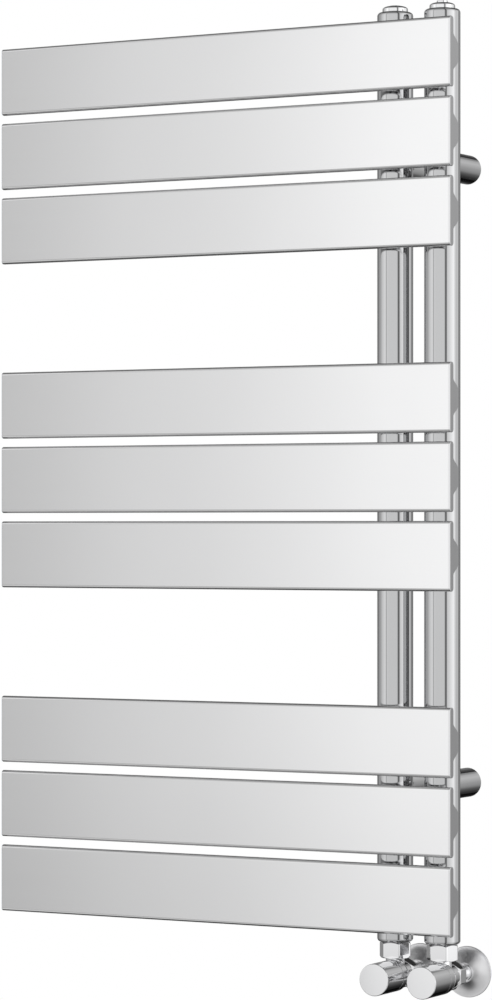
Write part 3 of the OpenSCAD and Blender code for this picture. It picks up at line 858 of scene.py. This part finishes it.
class RADIATOR_OT_collectors(bpy.types.Operator):
    """Draw the two upright collectors and close their ends"""

    bl_idname = "radiator.collectors"
    bl_label = "Collectors"

    def execute(self, context):
        outline = arc(0, 0, PLACE["tube_r"], 0, 360, TUBE_STEPS)[1:]
        length = PLACE["tube_high"] - PLACE["tube_low"]
        shells = []
        for word, side in SIDES.items():
            place = up_from(side * PLACE["tube_x"], -PLACE["stand"], 0)
            name = f"upright_collector_{word}"
            points = [place((x, y, PLACE["tube_low"])) for x, y in outline]
            piece = run_tree(
                new_piece(name, outline_face(name, points)),
                bar_tree(),
                {"Path": (0, 0, length * MM), "Material": tube_chrome_painted_shade()},
            )
            polish_normals(piece)
            finish_piece(piece, tube_chrome_painted_shade(), "chrome_tubes", "radiator", f"collector_{word}")
            top = end_cap_rings(1, PLACE["tube_high"], PLACE["cap_high"])
            foot = end_cap_rings(-1, PLACE["cap_low"], PLACE["tube_low"])
            shells += [(top, place, False), (foot, place, False)]
        shell_piece("collector_end_plates", shells, tube_chrome_painted_shade(), "chrome_tubes", "radiator",
                    "collector_top_caps", "collector_bottom_caps")
        return {"FINISHED"}


# --- Top plugs -------------------------------------------------------------------

# Gap under a plug's head, and the raised middle and hexagon socket of the blanking plug
PLUG_LIFT = 0.2
MIDDLE_RISE = 0.5
SOCKET_KEY = 6.0
SOCKET_DEPTH = 5.0
# Vent: its nozzle's spigot and cup, and the bleed screw in it
SPIGOT_R = 4.0
CUP_R = 4.2
CUP_FLOOR = 0.4
AIR_HOLE_R = 0.8
SCREW_HOLE_R = 2.56
SCREW_R = 2.5
TIP_R = 1.2
TIP_H = 2.0
SEAT_GAP = 0.1


def hexagon_radius(key, a):
    """Distance from the middle to a hexagon's side at an angle."""
    turn = (a + math.pi / 6) % (math.pi / 3) - math.pi / 6
    return key / 2 / math.cos(turn)


def square_radius(side, a):
    """Distance from the middle to a square's side at an angle."""
    turn = (a + math.pi / 4) % (math.pi / 2) - math.pi / 4
    return side / 2 / math.cos(turn)


def plug_profile(head_r, foot, top):
    """Half section of a plug's head over its thread, with its rounded shoulder."""
    sizes = settings("tubes")
    thread_r, middle_r = sizes.thread_radius, sizes.plug_middle
    seat, shoulder = PLUG_LIFT, PLUG_LIFT + sizes.plug_side
    profile = soften([(thread_r - 1, foot, 0), (thread_r, foot + 1, 0), (thread_r, seat, 0),
                      (head_r, seat, 0.3), (head_r, shoulder, 0)])
    for x, y in arc(0, 0, 1, 0, 90, 12)[1:]:
        profile.append((middle_r + (head_r - middle_r) * x, shoulder + (top - shoulder) * y))
    return profile


class RADIATOR_OT_plugs(bpy.types.Operator):
    """Turn the blanking plug, the vent plug, its nozzle and the bleed screw"""

    bl_idname = "radiator.plugs"
    bl_label = "Top Plugs"

    def execute(self, context):
        self.blanking_plug()
        self.vent_plug()
        return {"FINISHED"}

    def blanking_plug(self):
        low, high = node_box("blanking_plug")
        base = PLACE["cap_high"]
        lip = high.z - base
        top = lip - MIDDLE_RISE
        head_r = (high.x - low.x) / 2
        middle_r = settings("tubes").plug_middle
        profile = plug_profile(head_r, low.z - base, top) + soften(
            [(middle_r, top, 0), (middle_r, lip, 0.3), (SOCKET_KEY * 0.62, lip, 0)]
        )[1:]
        rings = turned_rings(profile)
        for height in (lip - 0.3, lip - SOCKET_DEPTH):
            rings += turned_rings([(SOCKET_KEY, height)],
                                  shape=lambda r, h, a: (hexagon_radius(r, a), h))
        place = up_from(-PLACE["tube_x"], -PLACE["stand"], base)
        shell_piece("blanking_plug_head", [(rings, place, False)], fitting_chrome(),
                    "chrome_fittings", "radiator", "blanking_plug")

    def vent_plug(self):
        low, high = node_box("vent_plug")
        nozzle_low, nozzle_high = node_box("bleed_nozzle")
        screw_low, screw_high = node_box("bleed_screw")
        base = PLACE["cap_high"]
        top = high.z - base
        head_r = (high.x - low.x) / 2
        nozzle_r = (nozzle_high.x - nozzle_low.x) / 2
        place = up_from(PLACE["tube_x"], -PLACE["stand"], base)
        head = plug_profile(head_r, low.z - base, top)
        head += [(SPIGOT_R, top), (SPIGOT_R, low.z - base)]
        shell_piece("vent_plug_head", [(turned_rings(head), place, True)], fitting_chrome(),
                    "chrome_fittings", "radiator", "vent_plug")
        foot, lip = nozzle_low.z - base, nozzle_high.z - base
        tip = screw_low.z - base
        seat = tip - SEAT_GAP
        nozzle = soften(
            [
                (AIR_HOLE_R, foot, 0.1),
                (SPIGOT_R, foot, 0.2),
                (SPIGOT_R, top, 0),
                (nozzle_r, top, 0),
                (nozzle_r, lip, 0.3),
                (CUP_R, lip, 0.3),
                (CUP_R, top + CUP_FLOOR, 0.1),
                (SCREW_HOLE_R, top + CUP_FLOOR, 0.1),
                (SCREW_HOLE_R, seat, 0.1),
                (AIR_HOLE_R, seat, 0),
            ],
            closed=True,
        )
        shell_piece("vent_nozzle", [(turned_rings(nozzle), place, True)], fitting_chrome(),
                    "chrome_fittings", "radiator", "bleed_nozzle")
        square, head_top = screw_high.x - screw_low.x, screw_high.z - base
        head_low = top + CUP_FLOOR + SLIP_GAP
        rings = turned_rings([(TIP_R, tip), (SCREW_R, tip + TIP_H), (SCREW_R, head_low - 0.01)])
        for inset, height in ((0, head_low), (0, head_top - 0.3), (0.3, head_top)):
            rings += turned_rings([(square - 2 * inset, height)],
                                  shape=lambda r, h, a: (square_radius(r, a), h))
        shell_piece("bleed_screw_square", [(rings, place, False)], bare_brass(), "brass",
                    "vent_screw", "bleed_screw")


# --- Wall brackets ---------------------------------------------------------------

# Radii of the rings on a sleeve's saddle, as shares of its own radius
SADDLE_SHARES = (1, 0.97, 0.85, 0.7, 0.5, 0.25)
SLEEVE_FOOT = 6.0
GRUB_STEPS = 48
GRUB_KEY = 2.5
GRUB_DEPTH = 2.0


def saddle_depth(x):
    """Distance from the wall to the collector's back at x from its middle."""
    return PLACE["stand"] - math.sqrt(PLACE["tube_r"] ** 2 - x**2)


class RADIATOR_OT_brackets(bpy.types.Operator):
    """Turn the stand-off sleeves, their wall posts and their grub screws"""

    bl_idname = "radiator.brackets"
    bl_label = "Wall Brackets"

    def execute(self, context):
        for level_word, level in LEVELS.items():
            for side_word, side in SIDES.items():
                place = out_from_wall(side * PLACE["tube_x"], level * PLACE["bracket_z"])
                self.sleeve(f"{level_word}_{side_word}", place)
                self.post(f"{level_word}_{side_word}", place)
        self.grub_screws()
        return {"FINISHED"}

    def sleeve(self, where, place):
        sizes = settings("tubes")
        radius, soft = PLACE["sleeve_r"], sizes.soft_edge
        bore = radius - sizes.sleeve_wall
        closed_end = PLACE["stand"] - PLACE["tube_r"] - sizes.sleeve_end
        rings = turned_rings(soften([(bore, closed_end, 0), (bore, 0, soft), (radius, 0, soft),
                                     (radius, SLEEVE_FOOT, 0)]))
        for part in SADDLE_SHARES:
            rings += turned_rings(
                [(radius * part, 0)], shape=lambda r, h, a: (r, saddle_depth(r * math.cos(a)))
            )
        shell_piece(f"stand_off_sleeve_{where}", [(rings, place, False)], fitting_chrome(),
                    "chrome_tubes", "radiator", f"bracket_sleeve_{where}")

    def post(self, where, place):
        sizes = settings("tubes")
        low, high = node_box(f"wall_post_{where}")
        radius, length = (high.x - low.x) / 2, -low.y
        bore = radius - sizes.post_wall
        profile = soften(
            [
                (sizes.wall_hole, 0, 0.4),
                (radius, 0, 0.5),
                (radius, length, 0.5),
                (bore, length, 0.4),
                (bore, sizes.post_base, 0.4),
                (sizes.wall_hole, sizes.post_base, 0.4),
            ],
            closed=True,
        )
        shell_piece(f"fixing_post_{where}", [(turned_rings(profile), place, True)],
                    zinc_steel(), "plain_steel", "radiator", f"wall_post_{where}")

    def grub_screws(self):
        low, high = node_box("bracket_grub_screws")
        radius = (high.y - low.y) / 2
        tip = low.z + PLACE["bracket_z"]
        length = settings("tubes").sleeve_wall + SLIP_GAP - PLACE["sleeve_r"] - tip
        rings = turned_rings([(radius - 0.5, tip + length), (radius, tip + length - 0.5),
                              (radius, tip + 0.4), (radius - 0.4, tip)], GRUB_STEPS)
        for height in (tip, tip + GRUB_DEPTH):
            rings += turned_rings([(GRUB_KEY, height)], GRUB_STEPS,
                                  shape=lambda r, h, a: (hexagon_radius(r, a), h))
        place = up_from(0, (low.y + high.y) / 2, 0)
        name = "sleeve_grub_screws"
        piece = new_piece(name, shell_mesh(name, [(rings, place, False)]))
        run_tree(
            piece,
            corner_tree(),
            {
                "Width": 2 * PLACE["tube_x"] * MM,
                "Height": 2 * PLACE["bracket_z"] * MM,
                "Material": zinc_steel(),
            },
        )
        polish_normals(piece)
        finish_piece(piece, zinc_steel(), "plain_steel", "radiator", "bracket_grub_screws")


# --- Nuts ------------------------------------------------------------------------

# Cut off a nut's corners and faces, fall of its chamfer, and rounding of its bore
NUT_BREAK = 0.3
CHAMFER_SLOPE = 0.62
CHAMFER_SOFT = 0.12
BORE_SOFT = 0.5
# The union nut reaches up into the gap under the collector
NUT_RAISE = 0.35


def nut_rings(key, low, high, bore, turn=0.0, steps=TUBE_STEPS):
    """Rings of a hexagon nut with turned chamfers, slightly broken corners and a bore."""
    corner = key / math.sqrt(3) - NUT_BREAK
    face_r = key / 2 - NUT_BREAK

    def side_r(a):
        return min(hexagon_radius(key, a + turn), corner)

    def chamfer_low(inset):
        return lambda r, h, a: (side_r(a) - inset, low + (side_r(a) - face_r) * CHAMFER_SLOPE)

    def chamfer_high(inset):
        return lambda r, h, a: (side_r(a) - inset, high - (side_r(a) - face_r) * CHAMFER_SLOPE)

    def shifted(shape, by):
        def moved(r, h, a):
            radius, height = shape(r, h, a)
            return radius, height + by

        return moved

    fall = CHAMFER_SOFT * CHAMFER_SLOPE
    rows = [
        turned_rings([(bore, low + BORE_SOFT), (bore + BORE_SOFT, low)], steps),
        turned_rings([(face_r - 0.3, low), (face_r, low + 0.08)], steps),
        turned_rings([(0, 0)], steps, shifted(chamfer_low(CHAMFER_SOFT), -fall)),
        turned_rings([(0, 0)], steps, shifted(chamfer_low(0), 0.15)),
        turned_rings([(0, 0)], steps, shifted(chamfer_high(0), -0.15)),
        turned_rings([(0, 0)], steps, shifted(chamfer_high(CHAMFER_SOFT), fall)),
        turned_rings([(face_r, high - 0.08), (face_r - 0.3, high)], steps),
        turned_rings([(bore + BORE_SOFT, high), (bore, high - BORE_SOFT)], steps),
    ]
    return [ring for row in rows for ring in row]


class RADIATOR_OT_nuts(bpy.types.Operator):
    """Cut the union nuts and the compression nuts"""

    bl_idname = "radiator.nuts"
    bl_label = "Hexagon Nuts"

    def execute(self, context):
        sizes = settings("valves")
        for word, side in SIDES.items():
            x = side * PLACE["tube_x"]
            low, high = node_box(f"union_nut_{word}")
            rings = nut_rings(sizes.union_key, low.z, high.z + NUT_RAISE,
                              sizes.tail_radius + SLIP_GAP, math.pi / 6 - sizes.union_turn)
            shell_piece(f"hex_union_nut_{word}", [(rings, up_from(x, -PLACE["stand"], 0), True)],
                        fitting_chrome(), "chrome_fittings", "radiator", f"union_nut_{word}")
            low, high = node_box(f"compression_nut_{word}")
            rings = nut_rings(sizes.pipe_key, -high.y, -low.y, PLACE["pipe_r"] + SLIP_GAP)
            shell_piece(f"hex_pipe_nut_{word}",
                        [(rings, out_from_wall(x, PLACE["valve_z"]), True)],
                        fitting_chrome(), "chrome_fittings", "radiator",
                        f"compression_nut_{word}")
        return {"FINISHED"}


# --- Valves ----------------------------------------------------------------------

# The body widens between these distances from the wall
TAPER_START = PLACE["stand"] - 6
TAPER_END = PLACE["stand"] + 4
# Rounding of the joint between knob and body, and radius of the body's flat front middle
JOINT_SOFT = 0.12
FRONT_MIDDLE_R = 4.0
# How far the tail's foot goes into the barrel, and its flare into the surface
TAIL_ROOT = 1.0
FLARE_SINK = 0.03


def body_radius(u):
    """Radius of the valve body at a distance from the wall."""
    rear = settings("valves").rear_radius
    start, end = TAPER_START, TAPER_END
    return rear + (PLACE["body_r"] - rear) * ease((u - start) / (end - start))


def barrel_profile():
    """Half section of the valve's barrel: spigot, rear shoulder, taper and front face.

    The barrel is solid: the chamber that the plunger lifts in isn't cut here.
    """
    sizes = settings("valves")
    rear = PLACE["stand"] - sizes.rear_length
    taper = []
    for k in range(TAPER_STEPS + 1):
        u = TAPER_START + (TAPER_END - TAPER_START) * k / TAPER_STEPS
        taper.append((body_radius(u), u, 0))
    return soften(
        [
            (PLACE["pipe_r"] + PIPE_GAP, PLACE["spigot"], 0),
            (sizes.spigot_radius, PLACE["spigot"], 0.4),
            (sizes.spigot_radius, rear, 0.2),
            (sizes.rear_radius, rear, 0.7),
        ]
        + taper
        + [
            (PLACE["body_r"], PLACE["body_front"], JOINT_SOFT),
            (FRONT_MIDDLE_R, PLACE["body_front"], 0),
        ]
    )


def tail_rings():
    """Rings of the upright tail, flared where it meets the barrel."""
    sizes = settings("valves")
    radius, fillet = sizes.tail_radius, sizes.tail_fillet

    def surface(rho, a):
        u = PLACE["stand"] - rho * math.sin(a)
        return math.sqrt(body_radius(u) ** 2 - (rho * math.cos(a)) ** 2)

    def flare(t):
        def shape(r, h, a):
            outer = (radius + fillet, surface(radius + fillet, a) - FLARE_SINK)
            bend = (radius, surface(radius, a))
            inner = (radius, surface(radius, a) + fillet)
            weights = ((1 - t) ** 2, 2 * t * (1 - t), t**2)
            return tuple(
                sum(w * p[k] for w, p in zip(weights, (outer, bend, inner))) for k in (0, 1)
            )

        return shape

    foot = radius + fillet
    rings = turned_rings([(0, 0)], shape=lambda r, h, a: (foot, surface(foot, a) - TAIL_ROOT))
    for k in range(FLARE_STEPS + 1):
        rings += turned_rings([(0, 0)], shape=flare(k / FLARE_STEPS))
    return rings + turned_rings([(radius, PLACE["tail_top"])])


class RADIATOR_OT_valve_bodies(bpy.types.Operator):
    """Turn the valve barrels and blend their tails into them"""

    bl_idname = "radiator.valve_bodies"
    bl_label = "Valve Bodies"

    def execute(self, context):
        for word, side in SIDES.items():
            x = side * PLACE["tube_x"]
            barrel = (turned_rings(barrel_profile()), out_from_wall(x, PLACE["valve_z"]), False)
            tail = (tail_rings(), up_from(x, -PLACE["stand"], PLACE["valve_z"]), False)
            name = f"corner_valve_{word}"
            piece = new_piece(name, shell_mesh(name, [barrel]))
            stem = new_piece("tail", shell_mesh("tail", [tail]))
            join = piece.modifiers.new("join", "BOOLEAN")
            join.operation = "UNION"
            join.solver = "EXACT"
            join.object = stem
            settle(piece)
            bpy.data.objects.remove(stem)
            polish_normals(piece)
            finish_piece(piece, fitting_chrome(), "chrome_fittings", "radiator",
                         f"valve_body_{word}")
        return {"FINISHED"}


class RADIATOR_OT_knobs(bpy.types.Operator):
    """Turn the two plain knobs"""

    bl_idname = "radiator.knobs"
    bl_label = "Valve Knobs"

    def execute(self, context):
        sizes = settings("valves")
        radius, rear, front = PLACE["body_r"], PLACE["knob_rear"], PLACE["knob_front"]
        bore = radius - sizes.knob_wall
        profile = soften(
            [
                (bore, front - sizes.knob_floor, 0),
                (bore, rear, 0.3),
                (radius, rear, JOINT_SOFT),
                (radius, front, sizes.knob_edge),
                (1, front, 0),
            ]
        )
        for word, side in SIDES.items():
            place = out_from_wall(side * PLACE["tube_x"], PLACE["valve_z"])
            shell_piece(f"round_knob_{word}", [(turned_rings(profile), place, False)],
                        fitting_chrome(), "chrome_fittings", f"valve_head_{word}",
                        f"valve_knob_{word}")
        return {"FINISHED"}


# Wall of the pipe, wall of the flange's hub, and how steeply the flange curves to it
PIPE_WALL = 0.7
HUB_WALL = 2.0
TRUMPET_POWER = 1.8
TRUMPET_STEPS = 28


class RADIATOR_OT_pipes(bpy.types.Operator):
    """Turn the supply pipes and press the wall flanges"""

    bl_idname = "radiator.pipes"
    bl_label = "Pipes and Wall Flanges"

    def execute(self, context):
        pipe_r = PLACE["pipe_r"]
        pipe = soften(
            [
                (pipe_r - PIPE_WALL, 0, 0.15),
                (pipe_r, 0, 0.3),
                (pipe_r, PLACE["pipe_end"], 0.2),
                (pipe_r - PIPE_WALL, PLACE["pipe_end"], 0.15),
            ],
            closed=True,
        )
        for word, side in SIDES.items():
            place = out_from_wall(side * PLACE["tube_x"], PLACE["valve_z"])
            shell_piece(f"supply_pipe_{word}", [(turned_rings(pipe), place, True)],
                        fitting_chrome(), "chrome_fittings", "radiator", f"pipe_stub_{word}")
            flange = turned_rings(self.flange_profile(word))
            shell_piece(f"trumpet_flange_{word}", [(flange, place, True)], flange_chrome(),
                        "chrome_fittings", f"cover_flange_{word}", f"wall_flange_{word}")
        return {"FINISHED"}

    def flange_profile(self, word):
        low, high = node_box(f"wall_flange_{word}")
        sheet = settings("valves").flange_sheet
        rim, height = (high.x - low.x) / 2, -low.y
        hub, bore = PLACE["pipe_r"] + HUB_WALL, PLACE["pipe_r"] + PIPE_GAP
        rise = []
        for k in range(TRUMPET_STEPS + 1):
            t = k / TRUMPET_STEPS
            rise.append((rim - (rim - hub) * t, sheet + (height - sheet) * t**TRUMPET_POWER))
        under = [(r, u - sheet) for r, u in reversed(rise) if u - sheet > 0.01]
        outer = soften([(rim, 0, 0.2), (rim, sheet, 0.5), (rim - 1.2, sheet + 0.02, 0)])
        lip = [(hub - 0.3, height), (bore, height), (bore, height - sheet)]
        return (
            [(rim - sheet, 0)] + outer[:-1] + [p for p in rise if p[0] < rim - 1.3] + lip + under
        )


# --- Hidden pieces ---------------------------------------------------------------


class RADIATOR_OT_hidden_pieces(bpy.types.Operator):
    """Give the pieces inside the radiator and its valves their finishes"""

    bl_idname = "radiator.hidden_pieces"
    bl_label = "Inner Pieces"

    def execute(self, context):
        brass = ["olives"]
        rubber = ["plug_orings", "tail_washers"]
        steel = ["port_necks", "bracket_bolts", "collector_bosses"]
        plastic = []
        for word in SIDES:
            brass += [f"{part}_{word}" for part in ("tailpiece", "headwork", "spindle", "plunger")]
            rubber += [f"gland_oring_{word}", f"plunger_seal_{word}"]
            plastic.append(f"knob_insert_{word}")
        for material, names in (
            (bare_brass(), brass),
            (black_rubber(), rubber),
            (zinc_steel(), steel),
            (white_plastic(), plastic),
        ):
            for name in names:
                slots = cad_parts[name].data.materials
                slots.clear()
                slots.append(material)
        return {"FINISHED"}


# --- Stage -----------------------------------------------------------------------


def ramp_stops(ramp, stops):
    """Sets a colour ramp's stops from (position, grey value) pairs."""
    elements = ramp.elements
    while len(elements) > 1:
        elements.remove(elements[-1])
    for k, (position, value) in enumerate(stops):
        element = elements[0] if k == 0 else elements.new(position)
        element.position = position
        element.color = (value, value, value, 1)


class RADIATOR_OT_stage(bpy.types.Operator):
    """Set up the pale floor, the soft light and the camera"""

    bl_idname = "radiator.stage"
    bl_label = "Stage"

    # Light from around the horizon: (degrees to the right of the front, level)
    AROUND = (
        (-180, 0.02), (-165, 0.03), (-150, 0.1), (-124, 0.2), (-104, 0.173), (-91, 0.4),
        (-79, 0.367), (-69, 0.553), (-60, 0.62), (-52, 0.68), (-44, 0.733), (-38, 0.72),
        (-35.4, 0.62), (-34.1, 0.33), (-32.9, 0.33), (-32.1, 0.42), (-31.3, 0.462),
        (-29.7, 0.492), (-28.1, 0.566), (-26.5, 0.652), (-25.8, 0.675), (-24, 0.65),
        (-16, 0.62), (38, 0.62), (43, 0.333), (47.6, 0.067), (52, 0.133), (58, 0.633),
        (102, 1.0), (127, 0.487), (143, 0.45), (151, 0.17),
    )
    # Share of that light by height, in front of the wall and behind it
    FRONT_HEIGHTS = (
        (-1.0, 0.05), (-0.85, 0.1), (-0.7, 0.55), (-0.3, 0.64), (-0.102, 0.86),
        (-0.06, 0.93), (0.014, 0.965), (0.13, 1.0), (0.3, 0.9), (0.55, 0.8), (0.68, 0.35),
        (1.0, 0.3),
    )
    BACK_HEIGHTS = (
        (-1.0, 0.01), (-0.45, 0.02), (-0.3, 0.14), (-0.2, 0.3), (-0.1, 0.38), (0.0, 0.42),
        (0.1, 0.5), (0.2, 0.57), (0.3, 0.65), (0.4, 0.55), (0.44, 0.25), (0.5, 0.15),
        (1.0, 0.2),
    )
    BACK_GAIN = 3.0
    POWER = 1.5
    # How quickly the light turns from the one behind to the one in front, and where
    FACING_SLOPE = 2.7
    FACING_OFFSET = 2.35

    def execute(self, context):
        scene = context.scene
        self.camera(scene)
        self.floor(scene)
        self.world(scene)
        scene.view_settings.view_transform = "Standard"
        scene.view_settings.look = "None"
        scene.view_settings.exposure = 0
        scene.view_settings.gamma = 1
        return {"FINISHED"}

    def camera(self, scene):
        values = settings("stage")
        data = bpy.data.cameras.new("camera")
        camera = bpy.data.objects.new("camera", data)
        scene.collection.objects.link(camera)
        camera.location = (values.eye_x, values.eye_y, values.eye_z)
        camera.rotation_euler = (math.pi / 2, 0, values.azimuth)
        data.lens = values.lens * 1000
        data.sensor_width = 36
        data.shift_y = values.rise
        data.dof.use_dof = False
        scene.camera = camera

    def floor(self, scene):
        values = settings("stage")
        half = values.floor_size / 2
        z = CAD_BOX[0].z - values.floor_drop
        corners = [(-half, -half, z), (half, -half, z), (half, half, z), (-half, half, z)]
        floor = new_piece("floor", outline_face("floor", corners))
        material, tree, shader = new_material("Pale Floor", 0.0)
        grain = tree.nodes.new("ShaderNodeTexNoise")
        grain.inputs["Scale"].default_value = 3.0
        ramp = tree.nodes.new("ShaderNodeMapRange")
        ramp.inputs["To Min"].default_value = 0.7
        ramp.inputs["To Max"].default_value = 0.8
        tree.links.new(grain.outputs["Fac"], ramp.inputs["Value"])
        tree.links.new(ramp.outputs["Result"], shader.inputs["Roughness"])
        shader.inputs["Base Color"].default_value = (*values.floor_colour, 1)
        floor.data.materials.append(material)
        floor.visible_glossy = False

    def world(self, scene):
        world = bpy.data.worlds.new("soft studio")
        scene.world = world
        world.use_nodes = True
        tree = world.node_tree
        tree.nodes.clear()
        link = tree.links.new
        place = tree.nodes.new("ShaderNodeTexCoord")
        split = tree.nodes.new("ShaderNodeSeparateXYZ")
        link(place.outputs["Generated"], split.inputs[0])
        forward = math_node(tree, "MULTIPLY", split.outputs["Y"], -1.0)
        around = math_node(tree, "ARCTAN2", split.outputs["X"], forward)
        turn = math_node(tree, "MULTIPLY_ADD", around, 1 / (2 * math.pi))
        turn.node.inputs[2].default_value = 0.5
        height = math_node(tree, "MULTIPLY_ADD", split.outputs["Z"], 0.5)
        height.node.inputs[2].default_value = 0.5
        ring = tree.nodes.new("ShaderNodeValToRGB")
        ramp_stops(ring.color_ramp, [((a + 180) / 360, v) for a, v in self.AROUND])
        link(turn, ring.inputs[0])
        share_by_height = tree.nodes.new("ShaderNodeMix")
        share_by_height.data_type = "FLOAT"
        for socket, stops, gain in (
            ("A", self.BACK_HEIGHTS, self.BACK_GAIN), ("B", self.FRONT_HEIGHTS, 1.0)
        ):
            tall = tree.nodes.new("ShaderNodeValToRGB")
            ramp_stops(tall.color_ramp, [((z + 1) / 2, v) for z, v in stops])
            link(height, tall.inputs[0])
            scaled = math_node(tree, "MULTIPLY", tall.outputs["Color"], gain)
            link(scaled, share_by_height.inputs[socket])
        facing = math_node(tree, "MULTIPLY_ADD", forward, self.FACING_SLOPE, clamp=True)
        facing.node.inputs[2].default_value = self.FACING_OFFSET
        link(facing, share_by_height.inputs["Factor"])
        glow = math_node(tree, "MULTIPLY", ring.outputs["Color"], self.POWER)
        level = math_node(tree, "MULTIPLY", glow, share_by_height.outputs["Result"])
        rays = tree.nodes.new("ShaderNodeLightPath")
        plain = tree.nodes.new("ShaderNodeMix")
        plain.data_type = "FLOAT"
        plain.inputs["B"].default_value = 1.0
        link(math_node(tree, "SUBTRACT", 1.0, rays.outputs["Is Glossy Ray"]),
             plain.inputs["Factor"])
        link(level, plain.inputs["A"])
        background = tree.nodes.new("ShaderNodeBackground")
        background.inputs["Color"].default_value = (1, 1, 1, 1)
        out = tree.nodes.new("ShaderNodeOutputWorld")
        link(plain.outputs["Result"], background.inputs["Strength"])
        link(background.outputs[0], out.inputs[0])


# --- Panel in the sidebar and registration ---------------------------------------

PIECES = (
    RADIATOR_OT_panels,
    RADIATOR_OT_end_plates,
    RADIATOR_OT_collectors,
    RADIATOR_OT_plugs,
    RADIATOR_OT_brackets,
    RADIATOR_OT_nuts,
    RADIATOR_OT_valve_bodies,
    RADIATOR_OT_knobs,
    RADIATOR_OT_pipes,
    RADIATOR_OT_hidden_pieces,
    RADIATOR_OT_stage,
)
GROUPS = {
    "panels": PanelSizes,
    "tubes": TubeSizes,
    "valves": ValveSizes,
    "finishes": FinishValues,
    "stage": StageValues,
}


class RADIATOR_PT_sidebar(bpy.types.Panel):
    """Lists the radiator's pieces and their sizes"""

    bl_idname = "RADIATOR_PT_sidebar"
    bl_label = "Towel Radiator"
    bl_space_type = "VIEW_3D"
    bl_region_type = "UI"
    bl_category = "Radiator"

    def draw(self, context):
        for piece in PIECES:
            self.layout.operator(piece.bl_idname)
        for group in GROUPS:
            box = self.layout.box()
            values = settings(group)
            for name in values.bl_rna.properties.keys():
                if name not in {"rna_type", "name"}:
                    box.prop(values, name)


def register():
    for group, cls in GROUPS.items():
        bpy.utils.register_class(cls)
        setattr(bpy.types.Scene, "radiator_" + group, PointerProperty(type=cls))
    for cls in (*PIECES, RADIATOR_PT_sidebar):
        bpy.utils.register_class(cls)


def unregister():
    for cls in reversed((*PIECES, RADIATOR_PT_sidebar)):
        bpy.utils.unregister_class(cls)
    for group, cls in GROUPS.items():
        delattr(bpy.types.Scene, "radiator_" + group)
        bpy.utils.unregister_class(cls)


def main():
    register()
    for piece in PIECES:
        family, name = piece.bl_idname.split(".")
        getattr(getattr(bpy.ops, family), name)()


if __name__ == "__main__":
    main()
